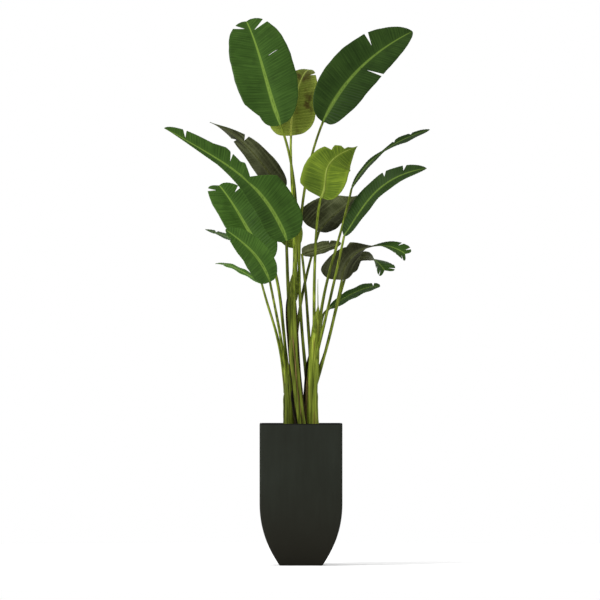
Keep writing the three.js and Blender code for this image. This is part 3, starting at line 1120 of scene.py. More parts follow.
@dataclass(frozen=True)
class Blade:
    """The torn blade of a leaf and its raised rib.

    Plain sizes are in millimetres, sizes times MM are in metres, and the rest are shares of the blade.
    """

    leaf: Leaf
    row_step: float = 2.8 * MM
    least_rows: int = 80
    crowding: float = 0.55
    tear_rows: tuple[float, ...] = (-1.0, -0.75, -0.5, -0.25, -0.08, 0.0, 0.08, 0.25, 0.5, 0.75, 1.0)
    crowded_reach: float = 0.1
    row_gap: float = 0.0025
    columns: int = 13
    thickness: float = 1.4 * MM
    margin_waves: tuple[Wave, Wave] = (Wave(0.006, 31.0), Wave(0.003, 73.0, 2.0))
    least_half: Pair = (5.0, 1.5)
    parting_reach: float = 0.06
    flutter_slope: float = 0.07
    flutter_seed: int = 7
    ripple: Wave = Wave(2.2 * MM, 3.5 * math.tau, math.tau)
    ripple_side: float = 0.2
    ripple_shift: float = 0.13
    ripple_kinds: int = 7
    vein_height: float = 0.45 * MM
    vein_start: float = 0.15
    droop: float = 0.05
    lobe_end: float = 0.14
    lobe_span: Pair = (12 * MM, 62 * MM)
    rib_sides: int = 12
    rib_most: float = 5.6
    rib_share: float = 0.12
    rib_tip: float = 0.8
    rib_taper: float = 0.7
    rib_heights: Pair = (0.5, 0.85)

    @cached_property
    def length(self) -> float:
        """The midrib's length in metres."""
        return Run(self.leaf.rib).length()

    @cached_property
    def shares(self) -> np.ndarray:
        """Stations along the blade, close together at its ends and at each tear.

        Returns:
            Shares of the length in order.
        """
        steps = np.linspace(0.0, 1.0, max(self.least_rows, round(self.length / self.row_step)))
        even = mix(steps, 0.5 - 0.5 * np.cos(math.pi * steps), self.crowding)
        tears = [tear for tear in self.leaf.tears if tear.reach < self.crowded_reach]
        torn = [tear.place + tear.reach * part for tear in tears for part in self.tear_rows]
        torn += [slit.place + slit.reach * part for slit in self.leaf.slits for part in (-1, 1)]
        kept = [share for share in even if np.abs(np.array(torn) - share).min() > self.row_gap]
        return np.unique(np.clip(kept + torn, 0.0, 1.0))

    @cached_property
    def down(self) -> np.ndarray:
        """The stations as a column."""
        return self.shares[:, None]

    @cached_property
    def across(self) -> np.ndarray:
        """Shares of the half width, from the left margin to the right."""
        half = np.linspace(0.0, 1.0, self.columns)
        return np.concatenate([-half[:0:-1], half])

    @cached_property
    def reach(self) -> np.ndarray:
        """Distances from the rib in metres, by station and share of the half width."""
        return np.abs(self.across) * by_side(self.across, self.half_width(-1), self.half_width(1))

    def half_width(self, side: int) -> np.ndarray:
        """Half width that the tears leave on one side.

        Args:
            side: One for the right half and minus one for the left.

        Returns:
            Half widths in metres, as a column.
        """
        half = self.leaf.left if side < 0 else self.leaf.right
        broad, fine = self.margin_waves
        wave = 1 + broad.at(self.down, self.leaf.seed() + side) + fine.at(self.down, side)
        whole = np.maximum(half.profile(self.down) * wave, mix(*self.least_half, self.down))
        kept = np.ones_like(self.down)
        for tear in self.leaf.tears:
            if tear.side == side:
                notch = 1 - ease(np.abs(self.down - tear.place), 0.0, tear.reach)
                kept = np.minimum(kept, 1 - tear.depth * notch)
        return whole * kept * MM

    def flutter(self, side: int) -> np.ndarray:
        """Lift of each part between tears on one side.

        Args:
            side: One for the right half and minus one for the left.

        Returns:
            The slope at each station, as a column.
        """
        tears = [tear for tear in self.leaf.tears if tear.side == side and tear.reach < self.parting_reach]
        rng = np.random.default_rng(self.leaf.seed() + self.flutter_seed * side)
        slopes = rng.uniform(-self.flutter_slope, self.flutter_slope, len(tears) + 1)
        slopes[0] = 0.0
        return slopes[np.searchsorted(sorted(tear.place for tear in tears), self.down)]

    def pinch(self) -> np.ndarray:
        """Moves the edges of each slit together toward its two ends.

        Returns:
            Moves along the blade in metres.
        """
        moves = np.zeros((len(self.shares), len(self.across)))
        for slit in self.leaf.slits:
            row = slit.row(self.shares)
            half = (slit.outer - slit.inner) / 2
            off = np.abs(slit.side * self.across - (slit.inner + slit.outer) / 2)
            inside = off < half + 1 / self.columns
            move = np.where(inside, slit.pinch * slit.reach * ease(off, 0.0, half) ** 2, 0.0)
            moves[row] += move
            moves[row + 1] -= move
        return moves * self.length

    def middle(self) -> tuple[np.ndarray, np.ndarray]:
        """The layer halfway through the blade.

        Returns:
            Positions, and directions square to the blade.
        """
        leaf, down, across, reach = self.leaf, self.down, self.across, self.reach
        side = np.sign(across)
        fold = math.radians(leaf.fold)
        full = by_side(across, leaf.left.width, leaf.right.width) * MM
        edge = reach / full
        slopes = by_side(across, self.flutter(-1), self.flutter(1))
        shift = self.ripple_side * side + self.ripple_shift * (leaf.seed() % self.ripple_kinds)
        ripple = self.ripple.at(down, shift) * edge ** 2
        veins = np.sin(math.tau * self.length / VEIN_SPACE * down) * ease(edge, 0.0, self.vein_start)
        rise = reach * (math.sin(fold) + slopes * edge) - self.droop * full * edge ** 2
        rise = rise + ripple + self.vein_height * veins
        lobe = (1 - ease(down, 0.0, self.lobe_end)) ** 2 * ease(reach, *self.lobe_span)
        sweep = mix(leaf.sweep_base, leaf.sweep_tip, down)
        ahead = reach * sweep - lobe * by_side(across, *leaf.lobes) * MM + self.pinch()
        spots, along, right, up = (part[:, None] for part in leaf.frame(self.shares))
        beside = side * reach * math.cos(fold)
        points = spots + right * beside[..., None] + up * rise[..., None] + along * ahead[..., None]
        return points, up * math.cos(fold) - right * (side * math.sin(fold))[:, None]

    def open_cells(self) -> Cells:
        """Finds the cells of the blade's grid that its slits leave open.

        Returns:
            The row and column of each open cell.
        """
        cells = []
        for slit in self.leaf.slits:
            middles = slit.side * (self.across[:-1] + self.across[1:]) / 2
            inside = np.flatnonzero((middles > slit.inner) & (middles < slit.outer))
            cells += [(slit.row(self.shares), int(column)) for column in inside]
        return cells

    def slit_edges(self, cells: Cells) -> Edges:
        """Lists the edges round the open cells.

        Args:
            cells: The row and column of each open cell.

        Returns:
            Pairs of points, each in the order that turns a rim outward.
        """
        columns = len(self.across)
        edges = []
        for row, column in cells:
            here = row * columns + column
            there = here + columns
            edges += [(here, here + 1), (there + 1, there)]
            if (row, column - 1) not in cells:
                edges.append((there, here))
            if (row, column + 1) not in cells:
                edges.append((here + 1, there + 1))
        return edges

    def raise_rib(self, draft: Draft) -> None:
        """Adds the raised midrib, deeper below than above.

        Args:
            draft: The leaf's draft.
        """
        leaf, sides = self.leaf, self.rib_sides
        spots, _, right, up = (part[:, None] for part in leaf.frame(self.shares))
        thick = min(self.rib_most, self.rib_share * max(leaf.left.width, leaf.right.width))
        size = mix(thick, self.rib_tip, self.down ** self.rib_taper) * MM
        angles = circle(sides)
        tall = np.where(np.sin(angles) > 0, *self.rib_heights) * np.sin(angles)
        body = spots + right * (size * np.cos(angles))[..., None] + up * (size * tall)[..., None]
        place = paired(self.down * self.length, np.zeros(sides))
        faces = flipped(grid(len(body), sides, True))
        rows = [faces[start:start + sides] for start in range(0, len(faces), sides)]
        above = [face for row in rows for face in row[:sides // 2]]
        below = [face for row in rows for face in row[sides // 2:]]
        first = draft.add(body, above, Skin.RIB, place=place, tone=leaf.rib_tone())
        draft.cover(below, Skin.UNDER_RIB, True, first)
        draft.cover(flipped(ends(len(body), sides)), Skin.RIB, False, first)

    def build(self, finishes: Finishes) -> Piece:
        """Builds the blade and its rib.

        Args:
            finishes: The plant's finishes.

        Returns:
            The leaf's piece.
        """
        leaf, down, across = self.leaf, self.down, self.across
        middle, skin = self.middle()
        offset = skin * self.thickness / 2
        place = paired(down * self.length, np.sign(across) * self.reach)
        share = paired(down, across)
        # Painted light and shade in part: the halves and the tip take the leaf's tones.
        sides = np.where(across == 0, leaf.rib_tone(), by_side(across, *leaf.half_tones))
        tone = mix(1.0, leaf.tip_tone, down ** 2) * sides
        rows, columns = self.reach.shape
        cells = self.open_cells()
        sheet = [face for face in grid(rows, columns, False) if divmod(face[0], columns) not in cells]
        draft = Draft()
        top = draft.add(middle + offset, sheet, Skin.UPPER, True, place, share, tone)
        low = draft.add(middle - offset, flipped(sheet), Skin.UNDER, True, place, share, tone)
        draft.join(top, low, border(rows, columns) + self.slit_edges(cells), Skin.UPPER)
        self.raise_rib(draft)
        made = draft.piece(f"{leaf.name}_blade", finishes.leaves[leaf.look], leaf.tone)
        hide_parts(f"leaf_{leaf.name}")
        leaf.look.slot().value
        return made


@dataclass(frozen=True)
class Stalk:
    """The channelled stalk of a leaf, from inside its stem to its blade, in millimetres and shares."""

    leaf: Leaf
    stem: Stem
    foot: float = 7.2
    top: float = 5.0
    sides: int = 16
    steps: int = 60
    root_steps: int = 10
    root_share: float = 0.12
    root_depth: Pair = (0.2, 0.6)
    root_girth: float = 0.4
    flare_share: float = 0.25
    flare_reach: float = 0.05
    swell: Wave = Wave(0.03, 19.0)
    channel: float = 0.22
    channel_power: int = 4
    dark_stretches: Wave = Wave(1.0, 8.0)
    stretch_darkness: float = 0.35
    # light_tone and side_shade paint shade down one side of the stalk.
    light_tone: float = 1.15
    side_shade: float = 0.4

    @cached_property
    def shares(self) -> np.ndarray:
        """Stations along the free stalk as shares of its length."""
        return np.linspace(0.0, 1.0, self.steps)

    @cached_property
    def rise(self) -> np.ndarray:
        """Stations along the part that runs up inside the stem, as shares of it."""
        return np.linspace(0.0, 1.0, self.root_steps, endpoint=False)

    def route(self) -> tuple[np.ndarray, np.ndarray]:
        """The line that the stalk follows.

        Returns:
            Positions in metres and unit directions.
        """
        leaf, rise = self.leaf, self.rise
        stem = Run(self.stem.points)
        turn = math.radians(leaf.turn)
        away = np.array([math.sin(turn), -math.cos(turn), 0.0])
        below = np.append(leaf.start - self.root_share * (1 - rise), leaf.start)
        depth = mix(*self.root_depth, np.append(rise, 1.0))
        inside, lean = stem.at(below)
        inside = inside + away * (self.stem.radius(below) * depth)[:, None]
        foot = tuple(inside[-1] / MM)
        spots, ways = Run((foot, *leaf.stalk, leaf.rib[0])).at(self.shares)
        lean = unit(mix(lean[:-1], ways[0], rise[:, None]))
        return np.concatenate([inside[:-1], spots]), np.concatenate([lean, ways])

    def build(self, finishes: Finishes) -> Piece:
        """Builds the stalk.

        Args:
            finishes: The plant's finishes.

        Returns:
            The stalk's piece.
        """
        leaf, shares = self.leaf, self.shares
        spots, ways = self.route()
        flare = 1 + self.flare_share * np.exp(-shares / self.flare_reach)
        girth = mix(self.foot, self.top, shares) * flare * (1 + self.swell.at(shares, leaf.seed())) * MM
        girth = np.concatenate([girth[0] * mix(self.root_girth, 1.0, self.rise), girth])
        angles = circle(self.sides)
        channel = 1 - self.channel * np.clip(np.cos(angles), 0.0, 1.0) ** self.channel_power
        # Darker stretches along the stalk, at places set by the leaf's seed.
        stretch_level = np.clip(self.dark_stretches.at(np.linspace(0.0, 1.0, len(girth)), leaf.seed()), 0.0, 1.0)
        # Painted shade: one side of the stalk is darker than the other.
        shade = self.light_tone - self.side_shade * np.clip(np.sin(angles), 0.0, 1.0) ** 2
        tone = (1 - self.stretch_darkness * stretch_level ** 2)[:, None] * shade
        up = leaf.frame(np.array([0.0]))[-1][0]
        draft = Draft()
        draft.tube(around(spots, ways, up, angles, girth[:, None] * channel), 0, tone)
        # stalk_tone is partly painted light and shade.
        made = draft.piece(f"{leaf.name}_stalk", [finishes.stalk], leaf.stalk_tone)
        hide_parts(f"stalk_{leaf.name}")
        return made


@dataclass(frozen=True)
class Spear:
    """A young leaf that is still rolled up, in millimetres."""

    points: FourPoints = ((68, 18, 960), (71, 12, 1050), (71, 8, 1120), (71, 6, 1201))
    foot: float = 4.5
    top: float = 0.9
    turns: float = 2.5
    core: float = 0.82
    overlap: float = 0.2
    sides: int = 20
    steps: int = 60

    def build(self, finishes: Finishes) -> Piece:
        """Builds the rolled blade with its winding edge.

        Args:
            finishes: The plant's finishes.

        Returns:
            The spear's piece.
        """
        shares = np.linspace(0.0, 1.0, self.steps)
        angles = circle(self.sides)
        wound = (angles / math.tau + self.turns * shares[:, None]) % 1
        girth = mix(self.foot, self.top, shares)[:, None] * MM * (self.core + self.overlap * wound)
        draft = Draft()
        draft.tube(Run(self.points).ring(shares, angles, girth), 0)
        made = draft.piece("rolled_spear", [finishes.leaves[Look.FRESH][Skin.RIB]])
        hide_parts("young_leaf_spear")
        return made


@dataclass(frozen=True)
class Chips:
    """Bark chips that lie about on the filling, in millimetres."""

    count: int = 420
    least: Point = (5.0, 3.0, 1.2)
    most: Point = (13.0, 7.0, 2.8)
    jitter: Pair = (0.75, 1.2)
    lean: float = 0.5
    reach: float = 0.92
    lift: float = 3.5
    faces: tuple[tuple[int, ...], ...] = (
        (0, 1, 3, 2), (4, 6, 7, 5), (0, 4, 5, 1), (2, 3, 7, 6), (0, 2, 6, 4), (1, 5, 7, 3))

    def scatter(self, draft: Draft, rng: np.random.Generator, half: float, level: float) -> None:
        """Adds the chips to the filling.

        Args:
            draft: The filling's draft.
            rng: Where chance comes from.
            half: Half the width that they may cover, in millimetres.
            level: The filling's height in millimetres.
        """
        corners = np.array([[x, y, z] for x in (-1, 1) for y in (-1, 1) for z in (-1, 1)])
        for _ in range(self.count):
            chip = corners * rng.uniform(self.least, self.most) * rng.uniform(*self.jitter, corners.shape)
            spin = Matrix.Rotation(rng.uniform(0, math.tau), 3, "Z")
            tip = Matrix.Rotation(rng.uniform(-self.lean, self.lean), 3, "Y")
            flat = rng.uniform(-self.reach, self.reach, 2) * half
            spot = np.append(flat, level + rng.uniform(0, self.lift))
            draft.add((chip @ np.array(spin @ tip).T + spot) * MM, list(self.faces), 1, False)


@dataclass(frozen=True)
class Planter:
    """The square planter, its rim and the filling in it, in millimetres."""

    height: float = 595.0
    half: float = 173.5
    foot_half: float = 90.0
    curve_height: float = 265.0
    curve_power: float = 2.15
    wall: float = 8.0
    floor: float = 12.0
    corner: float = 12.0
    rim_round: float = 2.4
    rim_steps: int = 6
    foot_round: float = 1.5
    foot_bevel: Pair = (0.3, 0.5)
    inner_top: float = 6.0
    corner_steps: int = 8
    side_steps: int = 10
    curve_steps: int = 44
    straight_steps: int = 24
    inner_steps: int = 40
    soil: float = 550.0
    soil_edge: float = 6.0
    gap: float = 0.3
    swell: float = 2.5
    swell_spread: Pair = (23.0, 31.0)
    crumb: float = 2.2
    soil_rings: int = 46
    soil_middle: float = 0.02
    soil_steps: int = 24
    seed: int = 41
    chips: Chips = Chips()

    def half_at(self, height: np.ndarray) -> np.ndarray:
        """Half width in millimetres at heights."""
        left = 1 - ease(height, 0.0, self.curve_height)
        return self.half - (self.half - self.foot_half) * left ** self.curve_power

    def outline(self) -> np.ndarray:
        """A square with rounded corners.

        Returns:
            Points round an outline whose half width is one.
        """
        bend = self.corner / self.half
        arcs = []
        for number, signs in enumerate(((1, 1), (-1, 1), (-1, -1), (1, -1))):
            turns = (number + np.linspace(0.0, 1.0, self.corner_steps)) * math.pi / 2
            arcs.append(np.array(signs) * (1 - bend) + bend * paired(np.cos(turns), np.sin(turns)))
        between = np.linspace(0.0, 1.0, self.side_steps)[1:-1, None]
        rows = []
        for arc, following in zip(arcs, arcs[1:] + arcs[:1]):
            rows += [arc, mix(arc[-1], following[0], between)]
        return np.concatenate(rows)

    def rings(self, halves: np.ndarray, heights: np.ndarray) -> np.ndarray:
        """Outlines at heights.

        Args:
            halves: The half width of each outline in millimetres.
            heights: Heights in millimetres, one for each outline or for each point.

        Returns:
            Positions in metres, outline by outline.
        """
        flat = halves[:, None, None] * self.outline()
        tall = np.broadcast_to(heights.reshape(len(halves), -1), flat.shape[:2])
        return np.concatenate([flat, tall[..., None]], axis=-1) * MM

    def profile(self) -> np.ndarray:
        """The section from under the foot, up the side, over the rim and down to the floor inside.

        Returns:
            Half widths and heights in millimetres.
        """
        shoulder = self.height - self.rim_round
        inner = self.half - self.wall + self.rim_round
        inset, bevel = self.foot_bevel
        flat = self.foot_half - self.foot_round
        low = [[self.foot_half / 2, 0.0], [flat, 0.0], [self.foot_half - inset, bevel]]
        curve = np.linspace(self.foot_round, self.curve_height, self.curve_steps)
        heights = np.append(curve, np.linspace(self.curve_height, shoulder, self.straight_steps)[1:])
        side = paired(self.half_at(heights), heights)
        turns = np.linspace(0.0, math.pi / 2, self.rim_steps)[1:]
        quarter = self.rim_round * paired(np.cos(turns), np.sin(turns))
        over = np.array([self.half - self.rim_round, shoulder]) + quarter
        into = np.array([inner, shoulder]) + quarter[:, ::-1] * (-1, 1)
        depths = np.linspace(self.height - self.inner_top, self.floor, self.inner_steps)
        down = paired(self.half_at(depths) - self.wall, depths)
        middle = [[self.foot_half / 2, self.floor]]
        return np.concatenate([low, side, over, [[inner, self.height]], into, down, middle])

    def shell(self, finishes: Finishes) -> Piece:
        """Builds the planter's walls.

        Args:
            finishes: The plant's finishes.

        Returns:
            The planter's piece.
        """
        draft = Draft()
        draft.tube(self.rings(*self.profile().T), 0)
        made = draft.piece("planter_shell", [finishes.planter])
        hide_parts("planter")
        return made

    def filling(self, finishes: Finishes) -> Piece:
        """Builds the uneven top dressing with its bark chips.

        Args:
            finishes: The plant's finishes.

        Returns:
            The filling's piece.
        """
        rng = np.random.default_rng(self.seed)
        reach = self.half - self.wall - self.gap
        halves = np.linspace(1.0, self.soil_middle, self.soil_rings) * reach
        flat = (halves[:, None, None] * self.outline()).reshape(-1, 2) / self.swell_spread
        swell = self.swell * np.sin(flat[:, 0]) * np.cos(flat[:, 1])
        heights = self.soil + swell + rng.uniform(-self.crumb, self.crumb, len(flat))
        levels = np.linspace(self.floor + self.gap, self.soil - self.soil_edge, self.soil_steps)
        sides = self.rings(self.half_at(levels) - self.wall - self.gap, levels)
        draft = Draft()
        draft.tube(np.concatenate([sides, self.rings(halves, heights)]), 0)
        self.chips.scatter(draft, rng, reach, self.soil)
        made = draft.piece("planter_top_dressing", [finishes.earth, finishes.bark])
        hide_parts("planter_filling")
        return made


@dataclass(frozen=True)
class Lamp:
    """A soft square light that looks at the crown, in metres and watts."""

    name: str
    place: Point
    size: float
    power: float
    aim: Point = (0.0, 0.0, 1.2)

    def build(self) -> None:
        """Hangs the light."""
        data = bpy.data.lights.new(self.name, "AREA")
        data.size = self.size
        data.energy = self.power
        made = put(self.name, data)
        made.location = self.place
        turn_to(made, Vector(self.aim))


@dataclass(frozen=True)
class Studio:
    """White room, soft lights, a pale floor and the camera, in metres and in pixels of the picture."""

    pixel: float = 4.2 * MM
    frame: int = 600
    middle_x: float = 301.0
    floor_y: float = 565.0
    distance: float = 45.0
    eye: float = 1.1
    sensor: float = 36.0
    far: float = 200.0
    room: Colour = (1.0, 1.0, 1.0, 1.0)
    lamps: tuple[Lamp, ...] = (
        Lamp("key", (-3.6, -3.2, 4.0), 1.4, 290.0), Lamp("fill", (3.6, -2.6, 2.4), 2.2, 20.0))
    floor_sides: int = 96
    floor_radius: float = 4.0
    floor_level: float = -0.5 * MM
    floor_clouds: Grain = Grain((2.0, 2.0, 2.0), 2.0)
    floor_tints: tuple[Colour, Colour] = ((0.965, 0.965, 0.965, 1.0), (0.985, 0.985, 0.985, 1.0))
    floor_rough: float = 0.9
    floor_shine: float = 0.5

    def camera(self) -> None:
        """Places a far camera level with the stems."""
        data = bpy.data.cameras.new("view")
        data.sensor_width = self.sensor
        data.lens = self.sensor * self.distance / (self.frame * self.pixel)
        data.clip_end = self.far
        made = put("view", data)
        middle = self.frame / 2
        aim = Vector(((middle - self.middle_x) * self.pixel, 0.0, (self.floor_y - middle) * self.pixel))
        made.location = Vector((aim.x, -self.distance, self.eye))
        turn_to(made, aim)
        bpy.context.scene.camera = made

    def floor(self) -> None:
        """Lays a wide pale floor under the planter."""
        radius = self.floor_radius
        points = [(radius * math.cos(turn), radius * math.sin(turn), self.floor_level)
                  for turn in circle(self.floor_sides)]
        mesh = bpy.data.meshes.new("pale_floor")
        mesh.from_pydata(points, [], [tuple(range(self.floor_sides))])
        graph = Graph("floor_white")
        soft = graph.noise(graph.local(), self.floor_clouds)
        graph.dress(graph.ramp(soft, (0.0, 1.0), self.floor_tints), self.floor_rough, self.floor_shine)
        mesh.materials.append(graph.material)
        made = put("pale_floor", mesh)

    def build(self) -> None:
        """Sets the room, the lights, the floor and the camera."""
        scene = bpy.context.scene
        scene.view_settings.view_transform = "Standard"
        scene.world = bpy.data.worlds.new("white_room")
        scene.world.use_nodes = True
        scene.world.node_tree.nodes["Background"].inputs["Color"].default_value = self.room
        for lamp in self.lamps:
            lamp.build()
        self.floor()
        self.camera()


STEMS: tuple[Stem, ...] = (
    Stem(
        StemName.LEFT, ((-50, 12, 550.3), (-51, 12, 680), (-59, 10, 790), (-73, 6, 900)), 23, 17,
        (Strip(0.5, 88, 0.8, 0.3, 0.3, True, 3.0),), 0.88,
    ),
    Stem(
        StemName.MIDDLE, ((9, -30, 550.3), (-18, -32, 765), (-37, -24, 985), (-36, -6, 1220)), 16, 24,
        (Strip(0.3, -95, 1.0, 0.3, 0.3, True, 9.0), Strip(0.62, 4, 0.06, 0.16, 2.6, True),
         # The dry strips at 66 and -62 degrees darken the middle stem's right and left edges near its top;
         # the one at -62 is painted shade.
         Strip(0.84, 66, 0.06, 0.3, 0.45, True), Strip(0.9, -62, 0.05, 0.09, 0.5, True)), 0.88,
    ),
    Stem(
        StemName.RIGHT, ((46, 8, 550.3), (43, 8, 730), (56, 8, 912), (73, 6, 1090)), 27, 19,
        (Strip(0.48, -50, 0.32, 0.2, 2.2, True), Strip(0.62, -88, 0.6, 0.35, 0.3, True, 1.5)), 1.4,
    ),
)
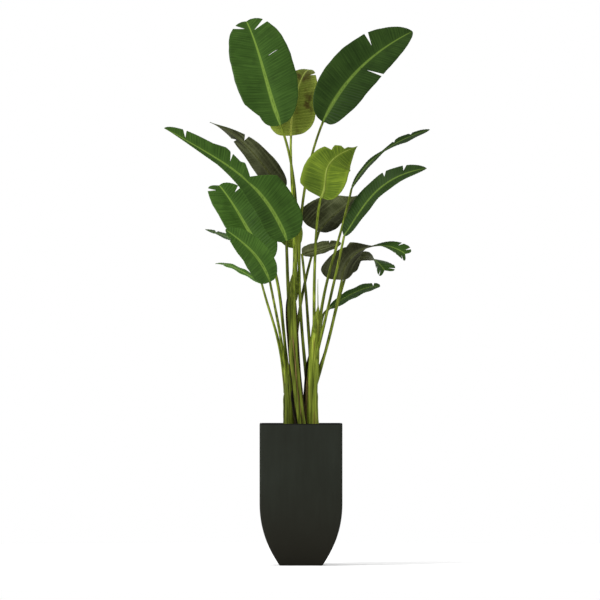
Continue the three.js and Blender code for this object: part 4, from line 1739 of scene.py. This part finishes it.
LEAVES: tuple[Leaf, ...] = (
    Leaf(
        "top_left", StemName.MIDDLE, 0.86, 40, ((-18, 2, 1365), (-31, 14, 1617)),
        ((-86, 30, 1848), (-134, 70, 1995), (-178, 130, 2150), (-230, 205, 2288)),
        ((5, 15), (0, 30)), 10, Half(134, 0.42, 0.66), Half(131, 0.42, 0.66),
        (Tear(1, 0.88, 0.8, 0.02), Tear(-1, 0.91, 0.7, 0.02), Tear(-1, 0.1, 0.22, 0.1)),
        slits=(Slit(1, 0.6, 0.2, 0.72),), stalk_tone=0.85,
    ),
    Leaf(
        "top_right", StemName.RIGHT, 0.34, -90, ((-5, 26, 1134), (6, 34, 1512)),
        ((92, 40, 1861), (168, 80, 1993), (288, 140, 2125), (470, 220, 2246)),
        ((5, 22), (0, 42)), 14, Half(114, 0.4, 0.8), Half(106, 0.36, 0.8),
        (Tear(-1, 0.66, 0.6, 0.014), Tear(1, 0.5, 0.75, 0.012)), tone=0.58, lobes=(6.0, 30.0),
    ),
    Leaf(
        "top_back", StemName.MIDDLE, 0.92, 170, ((-28, 34, 1344), (-38, 72, 1596)),
        ((-42, 110, 1804), (-34, 140, 1915), (-4, 195, 2030), (34, 270, 2086)),
        ((0, 20), (0, 70)), 10, Half(94, 0.14, 1), Half(100, 0.2, 0.9),
        (Tear(1, 0.8, 0.5, 0.02),), look=Look.FADED, tone=1.85, rib_evenness=-0.4, stalk_tone=1.9,
    ),
    Leaf(
        "upper_left", StemName.MIDDLE, 0.68, -130, ((-56, 10, 1190), (-62, 36, 1365)),
        ((-71, 60, 1575), (-140, 20, 1655), (-240, -20, 1770), (-382, -60, 1858)),
        ((185, 30), (150, 50)), 14, Half(56, 0.25, 1.8), Half(54, 0.25, 1.3),
        (Tear(-1, 0.62, 0.7, 0.02), Tear(1, 0.67, 0.6, 0.02)), tone=0.82, tip_tone=1.25,
    ),
    Leaf(
        "left_long", StemName.MIDDLE, 0.6, -40, ((-50, -44, 1113), (-56, -60, 1239)),
        ((-59, -70, 1361), (-172, -120, 1556), (-332, -175, 1690), (-571, -230, 1831)),
        ((0, 15), (30, 42)), 14, Half(72, 0.15, 1.6), Half(111, 0.15, 0.74),
        (Tear(1, 0.42, 0.78, 0.12), Tear(1, 0.5, 0.5, 0.2), Tear(1, 0.68, 0.35, 0.3),
         Tear(-1, 0.62, 0.35, 0.3), Tear(1, 0.56, 0.75, 0.015), Tear(1, 0.86, 0.8, 0.014)),
        tone=1.12, stalk_tone=0.45,
    ),
    Leaf(
        "left_middle", StemName.LEFT, 0.72, 40, ((-76, 0, 1008), (-99, -14, 1184)),
        ((-136, -30, 1268), (-202, -10, 1372), (-268, 30, 1486), (-344, 100, 1595)),
        ((-5, 15), (0, 45)), 12, Half(84, 0.6, 0.35), Half(98, 0.3, 0.6),
        (Tear(-1, 0.92, 0.6, 0.02), Tear(1, 0.8, 0.5, 0.02)), tone=1.3,
    ),
    Leaf(
        "left_front", StemName.LEFT, 0.62, -20, ((-84, -30, 945), (-105, -80, 1063)),
        ((-130, -120, 1189), (-168, -165, 1268), (-227, -215, 1336), (-315, -270, 1407)),
        ((0, 25), (0, 35)), 20, Half(82, 0.4, 0.8), Half(62, 0.36, 0.8),
        (Tear(-1, 0.86, 0.4, 0.015),), tone=1.52,
    ),
    Leaf(
        "left_back", StemName.LEFT, 0.8, 150, ((-74, 30, 1000), (-92, 52, 1155)),
        ((-122, 70, 1273), (-193, 110, 1323), (-298, 165, 1373), (-403, 230, 1411)),
        ((0, 85), (0, 80)), 8, Half(40, 0.4, 0.8), Half(40, 0.4, 0.8),
        (Tear(1, 0.85, 0.8, 0.02), Tear(-1, 0.78, 0.8, 0.02)), tone=1.6, tip_tone=0.5,
    ),
    Leaf(
        "left_low", StemName.LEFT, 0.5, -100, ((-90, 2, 915), (-122, 0, 1037)),
        ((-164, -10, 1180), (-223, 40, 1218), (-294, 100, 1254), (-361, 170, 1266)),
        ((0, 84), (-20, 75)), 8, Half(24, 0.4, 0.8), Half(24, 0.4, 0.8),
        (Tear(-1, 0.75, 0.7, 0.02),), tone=3.0, tip_tone=0.4,
    ),
    Leaf(
        "right_upright", StemName.RIGHT, 0.8, -30, ((55, -46, 1092), (61, -88, 1344)),
        ((84, -130, 1541), (101, -150, 1617), (124, -145, 1690), (236, -110, 1756)),
        ((180, 5), (180, 35)), 8, Half(98, 0.4, 1.2), Half(106, 0.1, 2),
        (Tear(1, 0.62, 0.35, 0.05), Tear(1, 0.8, 0.45, 0.05)),
        look=Look.FRESH, tone=0.92, half_tones=(1.05, 0.86),
    ),
    Leaf(
        "right_dark", StemName.MIDDLE, 0.5, 150, ((-10, 44, 1040), (22, 110, 1210)),
        ((76, 190, 1402), (125, 150, 1457), (178, 105, 1502), (233, 60, 1552)),
        ((180, 45), (180, 50)), 6, Half(58, 0.25, 0.8), Half(128, 0.15, 1.5),
        (Tear(-1, 0.8, 0.5, 0.02),), tone=1.1, half_tones=(0.6, 1.12), stalk_tone=0.75,
    ),
    Leaf(
        "right_high", StemName.RIGHT, 0.72, 90, ((101, 8, 1155), (151, 18, 1344)),
        ((212, 30, 1579), (296, 60, 1697), (410, 100, 1778), (542, 150, 1831)),
        ((-58, 32), (-27, 40)), 12, Half(23, 0.6, 0.7), Half(37, 0.5, 0.8),
        (Tear(-1, 0.48, 0.7, 0.2), Tear(1, 0.48, 0.75, 0.2), Tear(-1, 0.62, 0.6, 0.02),
         Tear(-1, 0.8, 0.5, 0.02)), tone=0.5,
    ),
    Leaf(
        "right_middle", StemName.RIGHT, 0.6, 50, ((103, -24, 1037), (147, -44, 1226)),
        ((181, -60, 1382), (256, -100, 1495), (357, -150, 1600), (525, -200, 1663)),
        ((-30, 37), (-20, 40)), 14, Half(60, 0.36, 0.8), Half(52, 0.42, 0.8),
        (Tear(-1, 0.6, 0.4, 0.015), Tear(-1, 0.78, 0.6, 0.016)), tone=0.6,
    ),
    Leaf(
        "middle_dark", StemName.RIGHT, 0.6, -110, ((30, 30, 1010), (20, 62, 1150)),
        ((4, 95, 1307), (58, 92, 1322), (112, 86, 1338), (168, 78, 1352)),
        ((180, 45), (180, 45)), 6, Half(32, 0.3, 0.7), Half(40, 0.12, 0.7),
        (Tear(1, 0.7, 0.4, 0.02),), tone=2.1, stalk_tone=0.8,
    ),
    Leaf(
        "right_drooping", StemName.RIGHT, 0.36, 80, ((101, 30, 890), (137, 58, 1037)),
        ((172, 76, 1197), (222, 56, 1301), (326, 12, 1341), (437, -30, 1306)),
        ((190, 10), (0, 40)), 20, Half(56, 0.2, 0.3), Half(98, 0.08, 0.35),
        (Tear(1, 0.3, 0.5, 0.25), Tear(1, 0.57, 0.88, 0.4), Tear(-1, 0.54, 0.88, 0.36),
         Tear(1, 0.83, 0.6, 0.014), Tear(-1, 0.84, 0.6, 0.014), Tear(1, 0.93, 0.6, 0.012),
         Tear(-1, 0.94, 0.6, 0.012)), sweep_tip=0.9,
    ),
    Leaf(
        "right_hanging", StemName.RIGHT, 0.43, 150, ((101, 66, 890), (139, 122, 1037)),
        ((196, 180, 1236), (236, 190, 1280), (290, 182, 1290), (352, 150, 1238)),
        ((190, 10), (0, 60)), 8, Half(64, 0.5, 0.35), Half(66, 0.5, 0.35),
        (Tear(1, 0.34, 0.6, 0.32), Tear(-1, 0.34, 0.75, 0.32), Tear(1, 0.77, 0.6, 0.016),
         Tear(-1, 0.79, 0.6, 0.016), Tear(1, 0.9, 0.6, 0.014), Tear(-1, 0.91, 0.6, 0.014)),
        sweep_tip=0.8, stalk_tone=0.75,
    ),
    Leaf(
        "right_low", StemName.RIGHT, 0.6, 150, ((80, 70, 987), (92, 116, 1046)),
        ((118, 160, 1075), (181, 200, 1120), (254, 240, 1156), (334, 280, 1172)),
        ((-20, 45), (-20, 45)), 12, Half(27, 0.7, 0.5), Half(38, 0.45, 0.8),
        (Tear(-1, 0.88, 0.8, 0.02),), tone=1.1,
    ),
    Leaf(
        "middle_back", StemName.MIDDLE, 0.84, 110, ((-17, 48, 1160), (-21, 94, 1245)),
        ((-29, 130, 1331), (-50, 170, 1399), (-84, 220, 1470), (-122, 280, 1533)),
        ((0, 15), (0, 25)), 10, Half(60, 0.4, 0.8), Half(60, 0.4, 0.8),
        (Tear(1, 0.7, 0.4, 0.02),), look=Look.FRESH,
    ),
)
PLANTER = Planter()
STUDIO = Studio()


def main() -> None:
    """Builds the studio, the planter and the plant in order, and reports each piece."""
    logging.basicConfig(level=logging.INFO, format="%(message)s")
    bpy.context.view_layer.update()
    STUDIO.build()
    finishes = Finishes.make()
    stems = {stem.name: stem for stem in STEMS}
    pieces = [PLANTER.shell(finishes), PLANTER.filling(finishes)]
    for stem in STEMS:
        pieces.append(stem.build(finishes, [leaf for leaf in LEAVES if leaf.stem is stem.name]))
    for leaf in LEAVES:
        pieces += [Stalk(leaf, stems[leaf.stem]).build(finishes), Blade(leaf).build(finishes)]
    pieces.append(Spear().build(finishes))
    for made in pieces:
        LOG.info("%s: %d faces", made.name, len(made.data.polygons))


if __name__ == "__main__":
    main()
